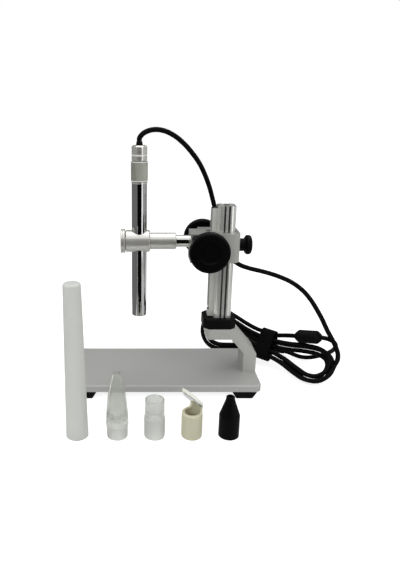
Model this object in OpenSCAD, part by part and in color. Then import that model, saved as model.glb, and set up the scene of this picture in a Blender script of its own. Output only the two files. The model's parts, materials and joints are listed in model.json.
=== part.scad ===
// Pen microscope on a rack-and-pinion stand, with its cable and its five slip-on tips.
// Millimetres, +Z up. The part stands on Z = 0, with the origin under the middle of its outline.

/* [Base] */
// Width of the base plate
base_w = 155; // [130:1:190]
// Depth of the base plate
base_d = 72; // [62:1:95]
// Thickness of the base plate
base_t = 5.5; // [5:0.5:9]
// Radius of the plate's upright corners
base_corner_r = 5; // [2:0.5:9]
// Bevel along the plate's top edge
base_bevel = 0.7; // [0.3:0.1:1.2]
// Height of a rubber foot
foot_h = 6; // [4:0.5:10]
// Width of a foot at the plate
foot_top_w = 19.4; // [15:0.1:24]
// Width of a foot at the table
foot_bottom_w = 13.6; // [11:0.1:15]
// Length of a foot, front to back
foot_l = 18; // [14:0.5:24]
// Distance of a foot from the plate's ends
foot_inset = 3.6; // [2:0.1:8]
// Distance of a foot from the plate's front and back
foot_set_back = 0.6; // [0.4:0.1:6]

/* [Bracket] */
// Depth of the bracket, front to back
bracket_d = 24; // [20:0.5:34]
// Thickness of the upright leg
leg_t = 10.4; // [8:0.2:14]
// Distance of the leg from the plate's right end
leg_inset = 0.7; // [0:0.1:6]
// Height of the two knees above the plate
knee_h = 16.6; // [10:0.2:26]
// Height of the bar's underside above the plate
bar_h = 29.3; // [24:0.1:40]
// Thickness of the bar
bar_t = 9; // [7:0.2:14]
// Length of the bar's top face
bar_l = 26; // [24:0.2:36]
// Lean of the sloping part from upright, in degrees
slope_angle = 40; // [30:1:50]
// Undercut of the bar's free end
bar_end_slant = 3; // [0:0.5:5]
// Corner cut of the collar and of the bar's free end, seen from above
collar_chamfer = 4.5; // [2:0.5:6]
// Height of the collar
collar_h = 8.2; // [6:0.2:14]

/* [Column] */
// Width of the square column
column_w = 14.4; // [12:0.2:18]
// Length of the column
column_l = 100; // [85:1:140]
// Radius of the column's corner lobes
lobe_r = 3.6; // [2:0.2:4.2]
// Width of the groove along each face
groove_w = 5; // [4:0.2:6]
// Depth of the groove along each face
groove_depth = 1.7; // [1:0.1:2]
// Width of the rib inside each groove
rib_w = 2; // [1:0.1:2.4]
// Distance that the rack stands out of the column
rack_out = 4.7; // [4:0.1:6]
// Width of the rack
rack_w = 6.4; // [4:0.2:8]
// Tooth module of rack and pinion
tooth_module = 0.5; // [0.4:0.05:0.6]
// Number of teeth on the pinion
pinion_teeth = 14; // [13:1:16]

/* [Carriage] */
// Height of the carriage's middle above the table
carriage_z = 118; // [100:0.5:122]
// Height of the carriage block
carriage_h = 23; // [20:0.5:30]
// Depth of the carriage block
carriage_d = 27; // [25:0.5:34]
// Distance of the block's left face from the pinion shaft
carriage_left = 13.2; // [12:0.2:20]
// Wall between the column and the block's right face
carriage_wall = 3; // [3:0.1:8]
// Thickness of the plastic slide liner
liner_t = 0.8; // [0.6:0.1:1.5]
// Diameter of the pinion shaft
shaft_d = 4; // [3:0.2:4.4]
// Diameter of the two focus knobs
knob_d = 31; // [24:0.5:36]
// Thickness of a focus knob's rim
knob_t = 8; // [6:0.5:12]
// Distance of a knob's outer face from the shaft's middle
knob_reach = 30; // [28:0.5:36]
// Diameter of the dish in a knob's face
dish_d = 17; // [10:0.5:22]
// Diameter of the lock screw's head
lock_head_d = 15.5; // [12:0.5:20]
// Thickness of the lock screw's head
lock_head_t = 5; // [5:0.2:9]
// Length of the lock screw's stem
lock_stem_l = 5.6; // [4:0.2:9]

/* [Arm] */
// Height of the arm's axis above the middle of the carriage
arm_rise = 3; // [1:0.1:4]
// Diameter of the polished rod
rod_d = 9.5; // [7:0.1:10.5]
// Free length of the polished rod
rod_free = 10.6; // [6:0.2:20]
// Diameter of the sleeve on the rod
sleeve_d = 13.3; // [12:0.1:15]
// Length of the sleeve
sleeve_l = 20.8; // [16:0.2:30]
// Diameter of the cross clamp
clamp_d = 17.5; // [16:0.1:22]
// Length of the cross clamp
clamp_l = 19.4; // [18.6:0.2:26]
// Diameter of the clamp's knob
clamp_knob_d = 19.4; // [17.5:0.1:24]
// Thickness of the clamp's knob
clamp_knob_t = 3.4; // [2.5:0.1:6]

/* [Microscope] */
// Diameter of the barrel
barrel_d = 12; // [10:0.1:13]
// Wall of the barrel
barrel_wall = 0.6; // [0.4:0.05:0.8]
// Length of the barrel
barrel_l = 107.6; // [98:0.2:120]
// Height of the nose above the table
nose_z = 58.9; // [58:0.1:70]
// Diameter of the knurled focus ring
ring_d = 13.2; // [12.6:0.1:15]
// Height of the knurled focus ring
ring_h = 15; // [10:0.2:20]
// Diameter of the end cap
cap_d = 11.9; // [10:0.1:13]
// Height of the end cap
cap_h = 11.3; // [8:0.1:16]

/* [Tips] */
// Distance of the row of tips in front of the base plate
row_gap = 51; // [40:0.5:70]
// Place of the long cover along the row
cover_x = -64.4; // [-66:0.1:-58]
// Place of the first short tip along the row
first_tip_x = -35.9; // [-38:0.1:-30]
// Spacing of the short tips in the row
tip_pitch = 26.4; // [24:0.1:30]
// Slip clearance of the tips on the barrel
slip_gap = 0.1; // [0.05:0.01:0.12]
// Depth of the tips' bores
tip_bore_l = 14; // [10:0.5:16]
// Height of the long cover
cover_h = 114; // [90:1:130]
// Diameter of the long cover at its mouth
cover_d = 15.8; // [14.4:0.1:19]
// Height of the cone tip
cone_h = 48.8; // [40:0.2:60]
// Height of the cup tip
cup_h = 28.8; // [26:0.2:36]
// Height of the mirror tip
mirror_h = 39; // [37:0.5:48]
// Height of the black tip
black_h = 31; // [28:0.2:40]

/* [Cable] */
// Diameter of the cable
cord_d = 3.9; // [3:0.1:4]

/* [Hidden] */
$fn = 64;

// Gap of a pressed or screwed fit
fit_gap = 0.03;
// Gap of a shaft that turns in a bush
run_gap = 0.05;
// Gap of a flat slide
slide_gap = 0.15;
// Gap of a round piece that slides or screws along a bore
guide_gap = 0.08;
// Gap between pieces that move past each other
free_gap = 0.4;
// Sideways growth that makes a cutter break cleanly through a face
over = 0.5;
// Room left at the end of a screw and round its shank
hole_spare = 0.3;

// Heights and depths of the stand
base_z = foot_h + base_t;
row_half = cover_d / 2;
outline_d = row_half + row_gap + base_d;
row_y = row_half - outline_d / 2;
base_front = row_y + row_gap;
axis_y = base_front + base_d / 2;
bar_z = base_z + bar_h;
bar_top = bar_z + bar_t;
leg_out = base_w / 2 - leg_inset;
leg_in = leg_out - leg_t;
knee_z = base_z + knee_h;
slope = tan(slope_angle);
bar_right = leg_out - (bar_top - knee_z) * slope;
bar_left = bar_right - bar_l;
collar_x = (bar_left + bar_right) / 2;
collar_half_w = bar_l / 2 + 0.2;
collar_half_d = bracket_d / 2;
foot_x = base_w / 2 - foot_inset - foot_top_w / 2;
foot_y = base_d / 2 - foot_set_back - foot_l / 2;

// Column, rack and pinion
column_x = collar_x + rack_out / 2;
column_top = bar_top + column_l;
column_face = column_x - column_w / 2;
tooth_pitch = PI * tooth_module;
pressure_angle = 20;
rack_addendum = 0.7 * tooth_module;
pinion_addendum = tooth_module;
dedendum = 1.25 * tooth_module;
backlash = 0.12;
pitch_r = pinion_teeth * tooth_module / 2;
rack_tip = column_face - rack_out;
pitch_x = rack_tip + rack_addendum;
shaft_x = pitch_x - pitch_r;
rack_low = bar_top + collar_h + 0.5;
rack_plain = 5.5;
rack_high = column_top - 2;
bolt_d = 5;
bolt_head_d = 9;
bolt_head_h = 5;
bolt_l = 18;

// Carriage and its drive
slot_half = column_w / 2 + slide_gap + liner_t;
block_left = shaft_x - carriage_left;
block_right = column_x + column_w / 2 + carriage_wall;
block_low = carriage_z - carriage_h / 2;
block_front = axis_y - carriage_d / 2;
block_rear = axis_y + carriage_d / 2;
block_corner = 3.2;
step_w = 7.5;
step_d = 6.5;
pocket_r = pitch_r + pinion_addendum + 0.6;
pinion_w = rack_w - 0.4;
bush_d = shaft_d + 3;
flange_d = bush_d + 2;
flange_t = 0.8;
cover_margin = 1.2;
cover_w = 2 * (carriage_left - cover_margin);
cover_tall = carriage_h - 2 * cover_margin;
cover_r = 2;
cover_t = 1.4;
cover_sunk = 1.1;
cover_screw_at = 7.2;
cover_screw_d = 2;
cover_screw_spare = 0.85;
cover_screw_l = carriage_d / 2 - slot_half - cover_sunk + cover_t - cover_screw_spare;
hub_d = 12;
hub_end = carriage_d / 2 + flange_t + free_gap;
shaft_half = knob_reach - 3.5;
grub_d = 3;
hex_d = 1.7;
hex_depth = 1.6;
screw_d = 3;
screw_head_d = 5.2;
screw_head_h = 1.8;
lock_stem_d = 10.2;
lock_stud_d = 5;
lock_pad_t = 1.4;
lock_low = block_right + 0.3;

// Arm and clamp
arm_z = carriage_z + arm_rise;
rod_end = block_left + 8;
arm_screw_x = block_left + 4;
sleeve_right = block_left - rod_free;
clamp_right = sleeve_right - sleeve_l;
clamp_left = clamp_right - clamp_l;
pen_x = (clamp_left + clamp_right) / 2 + 1.3;
pen_hole_d = barrel_d + 2 * guide_gap;
rod_reach = sleeve_right - 15;
spigot_d = sleeve_d - 1.6;
spigot_l = 1.8;
clamp_thread_d = 6;
clamp_pad_t = 1.2;

// Microscope, from the nose up
barrel_in = barrel_d - 2 * barrel_wall;
nose_land = 30;
land_step = 0.02;
land_taper = 1;
barrel_top = nose_z + barrel_l;
lip_h = 1.3;
ring_low = barrel_top + lip_h + 0.4;
ring_high = ring_low + ring_h;
cap_low = ring_high + 0.4;
cap_top = cap_low + cap_h;
gland_d = 5.2;
gland_h = 3;
spindle_room = 1.9;
spindle_d = barrel_in - 2 * spindle_room;
plug_h = 6;
plug_low = barrel_top - plug_h;
pin_d = 1.2;
pin_r = spindle_d / 2 + 0.8;
ring_turn = 135;
lead = 6.4;
sensor_travel = lead * ring_turn / 360;
screw_high = plug_low - 0.5;
screw_low = screw_high - 11;
hub_room = 2.1;
hub_of_carriage_d = barrel_in - 2 * hub_room;
stop_h = 1.6;
stop_low = screw_low - 0.4 - stop_h;
sensor_disc_h = 4;
sensor_disc_top = stop_low - sensor_travel - 0.5;
sensor_z = sensor_disc_top - sensor_disc_h;
lens_low = nose_z + 12;
lens_l = 18;
lens_d = 7;
board_z = nose_z + 3.2;
window_z = nose_z + 0.8;

// Tips
tip_bore_d = barrel_d + 2 * slip_gap;
skirt_d = tip_bore_d + 2.2;
tip_x = concat([cover_x], [for (i = [0:3]) first_tip_x + i * tip_pitch]);

// Cable: the free stretch, by hand, from the gland to the hank
cap_exit = cap_top + gland_h;
free_route = [
    [pen_x, axis_y, cap_exit + 0.2], [pen_x, axis_y, cap_exit + 1.9], [-18.2, 29.8, 202.7], [-14, 30.7, 205.2],
    [-7.6, 32, 206.3],[-1, 33.2, 205.2], [6.6, 35, 201.6], [14.6, 37, 195.2], [21, 38.8, 188.3],
    [27.2, 40.8, 180], [32, 42.8, 171], [36, 44.4, 161.4], [39, 45.6, 152], [41.6, 46.4, 143.4],
    [44.6, 47, 134.6], [48, 47.4, 124.6],
    [51.4, 47.6, 114.8], [54.8, 47.8, 106.4], [59, 48, 100], [64.6, 48, 96], [72, 48, 93.2], [84, 48, 90.2],
    [98, 48, 85.8], [110, 47.2, 80.4], [119.6, 45.2, 73.4], [125.4, 41.8, 66.8], [130, 38, 59.6],
    [134.4, 34, 51.6], [138, 30.6, 43.8], [141.8, 27.4, 37], [144.6, 24.2, 30.8], [146, 21.6, 25.6],
    [145.2, 19.5, 21.1], [142.9, 17.6, 18.4],
];

// Cable: the hank, worked out from its two lobes and its waist
hank_left = [56, 88.6, 18.8];
hank_right = [129.6, 28, 13.9];
hank_bow = 3.4;
tilt_left = 68;
tilt_right = 42;
lobe_left = 18;
lobe_right = 17.5;
waist = 9.8;
loop_step = cord_d + 0.55;
waist_step = cord_d + 0.7;
layer_step = cord_d + 0.55;
cap_rings = 5;
run_rings = 7;
loop_rings = 2 * (cap_rings + run_rings);
hank_first = 2;
hank_last = 3 * loop_rings + 2 * cap_rings + run_rings;
hank_turn = (hank_first + hank_last) / 2;
climb_from = loop_rings + 2 * cap_rings + run_rings;

// Cable: the tail, by hand, from the hank through the bead to the plug
tail_route = [
    [60.7, 95.9, 34.8], [64.2, 94.3, 35.6], [68, 91.8, 35], [73, 87.8, 33], [78.4, 82.8, 30.7],
    [84, 77.8, 28.6], [89.8, 73, 27], [94.5, 69.5, 26.3], [99.1, 66, 25.7], [103.8, 62.4, 25.6],
    [108, 58.2, 27.2], [112, 53, 29.4], [116.1, 48, 31.2], [136.3, 34, 35.4], [140.2, 31.8, 35.2],
    [144, 31.4, 33.4], [147.2, 33, 30], [149, 36.4, 26], [149.6, 41, 21.4], [149, 46.4, 16.6],
    [146.4, 52, 11.8], [142, 57.2, 7.4], [136, 61.4, 4], [129.8, 65, 2.8], [124, 68.6, 3.4],
    [119.6, 71.9, 4.3], [116.4, 74.3, 4.3],
];
bead_from = 12;
bead_d = 11.4;
bead_l = 22;
strap_w = 13;
strap_t = 1.2;
strap_room = 0.45;
grip_w = 15.6;
grip_tall = 8.4;
grip_l = 27;
grip_corner_r = 2.5;
relief_l = 9;
shell_w = 12;
shell_tall = 4.5;
shell_l = 15;
shell_wall = 0.4;
contact_t = 1.7;
contact_back = 2.5;

// Vectors along a swept tube
function unit(v) = v / norm(v);
function tangent(p, i) = unit(p[min(i + 1, len(p) - 1)] - p[max(i - 1, 0)]);
function square_to(v, t) = unit(v - (v * t) * t);
function any_side(t) = square_to(abs(t[2]) < 0.9 ? [0, 0, 1] : [1, 0, 0], t);
function tube_sides(p) = [
    for (i = 0, s = any_side(tangent(p, 0));
         i < len(p);
         i = i + 1, s = square_to(s, tangent(p, min(i, len(p) - 1)))) s
];
function tube_ring(centre, t, s, r, n) = [
    for (k = [0:n - 1]) centre + r * (cos(360 * k / n) * s + sin(360 * k / n) * cross(t, s))
];
function route_length(p, i = 0) = i >= len(p) - 1 ? 0 : norm(p[i + 1] - p[i]) + route_length(p, i + 1);

// A round tube of n sides along the points p
module tube_along(p, d, n) {
    side = tube_sides(p);
    last = (len(p) - 1) * n;
    points = [for (i = [0:len(p) - 1]) each tube_ring(p[i], tangent(p, i), side[i], d / 2, n)];
    walls = [
        for (i = [0:len(p) - 2], k = [0:n - 1])
            let (a = i * n + k, b = i * n + (k + 1) % n)
                each [[a, a + n, b], [b, a + n, b + n]]
    ];
    near_end = [for (k = [1:n - 2]) [0, k, k + 1]];
    far_end = [for (k = [1:n - 2]) [last, last + k + 1, last + k]];
    polyhedron(points, concat(walls, near_end, far_end), convexity = 10);
}

// The hank's line, its frame and its outline
function mix(a, b, s) = a + (b - a) * s;
function clamp01(x) = min(max(x, 0), 1);
function ease(x) = let (c = clamp01(x)) c * c * (3 - 2 * c);
hank_way = unit([hank_right[0] - hank_left[0], hank_right[1] - hank_left[1], 0]);
hank_rear = [-hank_way[1], hank_way[0], 0];
function hank_axis(s) = mix(hank_left, hank_right, s) + hank_bow * 4 * s * (1 - s) * hank_rear;
function hank_along(s) = unit(hank_axis(s + 0.01) - hank_axis(s - 0.01));
function hank_tilt(s) = mix(tilt_left, tilt_right, s);
function hank_across(s) = let (u = hank_along(s), level = unit([-u[1], u[0], 0]))
    level * cos(hank_tilt(s)) + [0, 0, sin(hank_tilt(s))];
function hank_place(s, u, v, n) =
    hank_axis(s) + u * hank_along(s) + v * hank_across(s) + n * cross(hank_along(s), hank_across(s));
waist_flat = 0.5 / run_rings;
function half_width(s) = s < 0.5
    ? mix(waist, lobe_left, ease((0.5 - waist_flat - s) / (0.5 - waist_flat)))
    : mix(waist, lobe_right, ease((s - 0.5 - waist_flat) / (0.5 - waist_flat)));
function step_at(s) = mix(waist_step, loop_step, ease(abs(s - 0.5) / 0.4));
function turns_in(p) = (p < hank_turn ? p - hank_first : hank_last - p) / loop_rings;
function layer_at(p) = layer_step * (0.5 - ease((p - climb_from) / run_rings));
function cap_place(s, r, angle, n) = hank_place(s, r * cos(angle), r * sin(angle), n);
function hank_point(p) = let (
        q = p % loop_rings,
        n = layer_at(p),
        inset = turns_in(p),
        lower = cap_rings,
        left = lower + run_rings,
        upper = left + cap_rings,
        s = q < left ? 1 - (q - lower) / run_rings : (q - upper) / run_rings,
        half = half_width(s) - inset * step_at(s)
    )
    q < lower ? cap_place(1, lobe_right - inset * loop_step, 90 - 180 * q / cap_rings, n)
    : q < left ? hank_place(s, 0, -half, n)
    : q < upper ? cap_place(0, lobe_left - inset * loop_step, -90 - 180 * (q - left) / cap_rings, n)
    : hank_place(s, 0, half, n);
hank_points = [for (p = [hank_first:hank_last]) hank_point(p)];
hank_gap = min([
    for (i = [0:len(hank_points) - 1], j = [i + 6:1:len(hank_points) - 1])
        norm(hank_points[i] - hank_points[j])
]) - cord_d;
echo(hank_least_gap = hank_gap, hank_length = route_length(hank_points),
     free_length = route_length(free_route), tail_length = route_length(tail_route));

// A flat plate with round corners, centred on the origin
module rounded_plate(w, d, r) {
    square([w - 2 * r, d], center = true);
    square([w, d - 2 * r], center = true);
    for (x = [-1, 1], y = [-1, 1])
        translate([x * (w / 2 - r), y * (d / 2 - r)]) circle(r);
}

// A rectangle with its four corners cut off
module cut_corner_plate(half_w, half_d, c) {
    polygon([
        [-half_w + c, -half_d], [half_w - c, -half_d], [half_w, -half_d + c], [half_w, half_d - c],
        [half_w - c, half_d], [-half_w + c, half_d], [-half_w, half_d - c], [-half_w, -half_d + c],
    ]);
}

// A turned solid from an outline of [radius, height] points
module turned(outline) {
    rotate_extrude() polygon(outline);
}

// A turned solid that lies along +X from x, at height z
module turned_x(x, z, outline) {
    translate([x, axis_y, z]) rotate([0, 90, 0]) turned(outline);
}

// A disc with a small bevel on both rims
function bevelled(r, h, c) = [[0, 0], [r - c, 0], [r, c], [r, h - c], [r - c, h], [0, h]];

// A countersunk or cheese-head screw: the head's underside is at 0, the shank goes up
module cap_screw(d, l, head_d, head_h) {
    turned([[0, -head_h], [head_d / 2, -head_h], [head_d / 2, 0], [d / 2, 0], [d / 2, l], [0, l]]);
}

// Places of the feet and of the bracket's screws
module at_feet() {
    for (x = [-1, 1], y = [-1, 1])
        translate([x * foot_x, axis_y + y * foot_y, 0]) children();
}
module at_bracket_screws() {
    for (y = [-1, 1])
        translate([(leg_in + leg_out) / 2, axis_y + y * bracket_d * 0.29, 0]) children();
}

foot_recess_d = 8;
foot_recess_h = 3.4;
foot_screw_end = base_z - 1.6;
foot_screw_l = foot_screw_end - foot_recess_h;
leg_screw_d = 4;
leg_screw_head_d = 7.4;
leg_screw_head_h = 2.6;
leg_screw_deep = 9;
leg_screw_l = base_t - leg_screw_head_h + leg_screw_deep;

// The base plate drawn in by b at its sides, and short of its top by what is left of the bevel
module base_slab(b) {
    translate([0, axis_y, foot_h]) linear_extrude(base_t - base_bevel + b)
        rounded_plate(base_w - 2 * b, base_d - 2 * b, base_corner_r - b, $fn = 32);
}

module base_plate() {
    color("silver") difference() {
        hull() {
            base_slab(0);
            base_slab(base_bevel);
        }
        at_feet() translate([0, 0, foot_h - over])
            cylinder(d = screw_d + 2 * fit_gap, h = foot_screw_end - foot_h + over + hole_spare);
        at_bracket_screws() translate([0, 0, foot_h - over]) {
            cylinder(d = leg_screw_head_d + free_gap, h = leg_screw_head_h + over);
            cylinder(d = leg_screw_d + hole_spare, h = base_t + 2 * over);
        }
    }
}

// A block that narrows towards the table, with a hole and a recess for its screw
module rubber_feet() {
    edge = 0.6;
    hole = screw_d / 2 + 0.1;
    color("#161616") at_feet() difference() {
        translate([0, foot_l / 2, 0]) rotate([90, 0, 0]) linear_extrude(foot_l) polygon([
            [-foot_bottom_w / 2 + edge, 0], [foot_bottom_w / 2 - edge, 0], [foot_bottom_w / 2, edge],
            [foot_top_w / 2, foot_h - edge], [foot_top_w / 2, foot_h], [-foot_top_w / 2, foot_h],
            [-foot_top_w / 2, foot_h - edge], [-foot_bottom_w / 2, edge],
        ]);
        translate([0, 0, -over]) cylinder(r = hole, h = foot_h + 2 * over);
        translate([0, 0, -over]) cylinder(d = foot_recess_d, h = foot_recess_h + over);
    }
}

module foot_screws() {
    color("gray") at_feet() translate([0, 0, foot_recess_h])
        cap_screw(screw_d, foot_screw_l, screw_head_d, screw_head_h);
}

// The bracket's outline from the front: leg, slope and bar
module bracket_outline() {
    polygon([
        [leg_in, base_z], [leg_out, base_z], [leg_out, knee_z], [bar_right, bar_top], [bar_left, bar_top],
        [bar_left + bar_end_slant, bar_z], [leg_in - (bar_z - knee_z) * slope, bar_z], [leg_in, knee_z],
    ]);
}

module bracket() {
    color("silver") difference() {
        intersection() {
            translate([0, axis_y + bracket_d / 2, 0]) rotate([90, 0, 0])
                linear_extrude(bracket_d) bracket_outline();
            translate([bar_left + base_w / 2, axis_y, 0]) linear_extrude(bar_top)
                cut_corner_plate(base_w / 2, bracket_d / 2, collar_chamfer);
        }
        at_bracket_screws() translate([0, 0, base_z - over])
            cylinder(d = leg_screw_d + 2 * fit_gap, h = leg_screw_deep + over + hole_spare);
        translate([column_x, axis_y, bar_z - over]) {
            cylinder(d = bolt_head_d + free_gap, h = bolt_head_h + over);
            cylinder(d = bolt_d + hole_spare, h = bar_t + 2 * over);
        }
    }
}

module bracket_screws() {
    color("gray") at_bracket_screws() translate([0, 0, foot_h + leg_screw_head_h])
        cap_screw(leg_screw_d, leg_screw_l, leg_screw_head_d, leg_screw_head_h - 0.2);
}

// The room that the column and its rack take up, with a gap all round
module column_room(gap) {
    translate([column_x, axis_y]) square(column_w + 2 * gap, center = true);
    translate([rack_tip - gap, axis_y - rack_w / 2 - gap])
        square([rack_out + column_w / 2, rack_w + 2 * gap]);
}

module column_collar() {
    color("#1a1a1a") translate([0, 0, bar_top]) difference() {
        linear_extrude(collar_h) translate([collar_x, axis_y])
            cut_corner_plate(collar_half_w, collar_half_d, collar_chamfer);
        translate([0, 0, -over]) linear_extrude(collar_h + 2 * over) column_room(fit_gap);
    }
}

// Cross-section of the column: four lobes, a ribbed groove in each face and a bolt hole
module column_section() {
    difference() {
        rounded_plate(column_w, column_w, lobe_r);
        for (a = [0:90:270]) rotate(a) translate([column_w / 2 - groove_depth, -groove_w / 2])
            square([groove_depth + over, groove_w]);
        translate([-column_w / 2 - over, -rack_w / 2]) square([groove_depth + over, rack_w]);
        circle(d = bolt_d + 2 * fit_gap);
    }
    for (a = [0, 90, 270]) rotate(a) translate([column_w / 2 - groove_depth - 0.1, -rib_w / 2])
        square([groove_depth - 0.3, rib_w]);
}

module column() {
    color("#d8d8d6") translate([column_x, axis_y, bar_top]) linear_extrude(column_l) column_section();
}

module column_bolt() {
    color("gray") translate([column_x, axis_y, bar_z + bolt_head_h])
        cap_screw(bolt_d, bolt_l, bolt_head_d, bolt_head_h - 0.3);
}

// Half the width of a rack tooth at x, for teeth that thin towards their tips
function rack_half(depth) = tooth_pitch / 4 - backlash / 2 + depth * tan(pressure_angle);
rack_root = pitch_x + dedendum;
teeth_low = rack_low + rack_plain;
rack_count = floor((rack_high - teeth_low) / tooth_pitch) - 1;
rack_first = ceil((teeth_low + tooth_pitch - carriage_z) / tooth_pitch - 0.5) + 0.5;

module gear_rack() {
    back = column_face + groove_depth;
    teeth = [
        for (i = [0:rack_count - 1])
            let (z = carriage_z + (rack_first + i) * tooth_pitch)
                each [
                    [rack_root, z - rack_half(dedendum)], [rack_tip, z - rack_half(-rack_addendum)],
                    [rack_tip, z + rack_half(-rack_addendum)], [rack_root, z + rack_half(dedendum)],
                ]
    ];
    color("#c4c4c0") translate([0, axis_y + rack_w / 2 - fit_gap, 0]) rotate([90, 0, 0])
        linear_extrude(rack_w - 2 * fit_gap)
            polygon(concat(
                [[back, rack_low], [rack_tip, rack_low], [rack_tip, teeth_low], [rack_root, teeth_low]],
                teeth, [[rack_root, rack_high], [back, rack_high]]
            ));
}

// The block from above: corners cut at the right, stepped back at the left rear
module block_outline() {
    polygon([
        [block_left, block_front], [block_right - block_corner, block_front],
        [block_right, block_front + block_corner], [block_right, block_rear - block_corner],
        [block_right - block_corner, block_rear], [block_left + step_w, block_rear],
        [block_left + step_w, block_rear - step_d], [block_left, block_rear - step_d],
    ]);
}

module carriage_block() {
    color("#8a8a88") difference() {
        translate([0, 0, block_low]) linear_extrude(carriage_h) block_outline();
        translate([column_x, axis_y, block_low - over]) linear_extrude(carriage_h + 2 * over)
            square(2 * slot_half, center = true);
        translate([shaft_x, axis_y - rack_w / 2 - free_gap, block_low - over])
            cube([column_x - shaft_x, rack_w + 2 * free_gap, carriage_h + 2 * over]);
        translate([shaft_x, axis_y + rack_w / 2 + free_gap, carriage_z]) rotate([90, 0, 0])
            cylinder(r = pocket_r, h = rack_w + 2 * free_gap);
        translate([shaft_x, block_rear + over, carriage_z]) rotate([90, 0, 0])
            cylinder(d = bush_d, h = carriage_d + 2 * over);
        translate([shaft_x, block_front + cover_sunk, carriage_z]) rotate([90, 0, 0])
            linear_extrude(cover_sunk + over) rounded_plate(cover_w + 0.2, cover_tall + 0.2, cover_r);
        at_cover_screws() translate([0, 0, -over])
            cylinder(d = cover_screw_d + 2 * fit_gap, h = cover_screw_l - cover_t + over + 0.3);
        translate([block_left - over, axis_y, arm_z]) rotate([0, 90, 0])
            cylinder(d = rod_d + 2 * fit_gap, h = rod_end - block_left + over + 0.1);
        translate([arm_screw_x, axis_y, block_low - over])
            cylinder(d = grub_d + 2 * fit_gap, h = arm_z - block_low);
        translate([column_x, axis_y, carriage_z]) rotate([0, 90, 0])
            cylinder(d = lock_stud_d + 2 * run_gap, h = block_right - column_x + over);
    }
}

module at_cover_screws() {
    for (x = [-1, 1], z = [-1, 1])
        translate([shaft_x + x * cover_screw_at, block_front + cover_sunk, carriage_z + z * cover_screw_at])
            rotate([-90, 0, 0]) children();
}

module pinion_cover() {
    color("#3c3c3c") difference() {
        translate([shaft_x, block_front + cover_sunk, carriage_z]) rotate([90, 0, 0])
            linear_extrude(cover_t) rounded_plate(cover_w, cover_tall, cover_r);
        translate([shaft_x, block_front + cover_sunk + over, carriage_z]) rotate([90, 0, 0])
            cylinder(d = flange_d + 0.4, h = cover_t + 2 * over);
        at_cover_screws() translate([0, 0, -cover_t - over])
            cylinder(d = cover_screw_d + 0.3, h = cover_t + 2 * over);
    }
}

module cover_screws() {
    r = cover_screw_d / 2;
    head_h = 0.9;
    color("gray") at_cover_screws() translate([0, 0, -cover_t]) turned([
        [0, -head_h], [r + 0.5, -head_h], [r + 0.8, -head_h / 2], [r + 0.8, 0], [r, 0], [r, cover_screw_l],
        [0, cover_screw_l],
    ]);
}

module slide_liner() {
    color("#e6e2d6") translate([0, 0, block_low + 0.5]) linear_extrude(carriage_h - 1) difference() {
        translate([column_x, axis_y]) square(2 * (slot_half - fit_gap), center = true);
        translate([column_x, axis_y]) square(column_w + 2 * slide_gap, center = true);
        translate([column_x - slot_half - over, axis_y - rack_w / 2 - free_gap])
            square([slot_half, rack_w + 2 * free_gap]);
        translate([column_x, axis_y - lock_stud_d / 2 - 0.6]) square([slot_half + over, lock_stud_d + 1.2]);
    }
}

// One bush with its flange outside, on the shaft's axis
bush_l = (carriage_d - rack_w) / 2 - free_gap - cover_sunk;
module shaft_bush() {
    bore = shaft_d / 2 + run_gap;
    outside = bush_d / 2 - fit_gap;
    top = bush_l + flange_t;
    turned([
        [bore, 0], [outside, 0], [outside, bush_l], [flange_d / 2, bush_l], [flange_d / 2, top], [bore, top],
    ]);
}

module shaft_bushes() {
    color("#b08d57") {
        translate([shaft_x, block_front + cover_sunk + bush_l, carriage_z]) rotate([90, 0, 0]) shaft_bush();
        translate([shaft_x, block_rear - bush_l, carriage_z]) rotate([-90, 0, 0]) shaft_bush();
    }
}

module arm_rod() {
    color("#e4e4e4") turned_x(rod_reach, arm_z, bevelled(rod_d / 2, rod_end - rod_reach, 0.4));
}

module arm_set_screw() {
    low = block_low + 0.6;
    color("#303030") translate([arm_screw_x, axis_y, low]) difference() {
        cylinder(d = grub_d, h = arm_z - rod_d / 2 - fit_gap - low);
        translate([0, 0, -over]) cylinder(d = hex_d, h = hex_depth + over, $fn = 6);
    }
}

pad_x = column_x + column_w / 2 + slide_gap;
module lock_pad() {
    color("#b08d57") turned_x(pad_x, carriage_z, bevelled(lock_stud_d / 2 - 0.1, lock_pad_t, 0.2));
}

module focus_shaft() {
    color("#c8c8c8") translate([shaft_x, axis_y + shaft_half, carriage_z]) rotate([90, 0, 0])
        turned(bevelled(shaft_d / 2, 2 * shaft_half, 0.3));
}

// Half the angle of a pinion tooth at radius r
base_r = pitch_r * cos(pressure_angle);
function involute(angle) = tan(angle) * 180 / PI - angle;
function tooth_half(r) =
    90 / pinion_teeth + involute(pressure_angle) - involute(acos(min(base_r / r, 1)));
pinion_tip = pitch_r + pinion_addendum;
pinion_root = pitch_r - dedendum;
tooth_radii = [pinion_root, base_r, mix(base_r, pinion_tip, 0.35), mix(base_r, pinion_tip, 0.7), pinion_tip];
function polar(r, a) = [r * cos(a), r * sin(a)];

module pinion_gear() {
    rise = [for (i = [0:4]) [tooth_radii[i], -tooth_half(max(tooth_radii[i], base_r))]];
    fall = [for (i = [4:-1:0]) [tooth_radii[i], tooth_half(max(tooth_radii[i], base_r))]];
    tooth = concat(rise, fall);
    color("#c0a060") translate([shaft_x, axis_y + pinion_w / 2, carriage_z]) rotate([90, 0, 0])
        linear_extrude(pinion_w) difference() {
            polygon([for (i = [0:pinion_teeth - 1], t = tooth) polar(t[0], t[1] + 360 * i / pinion_teeth)]);
            circle(d = shaft_d + 2 * fit_gap);
        }
}

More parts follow.
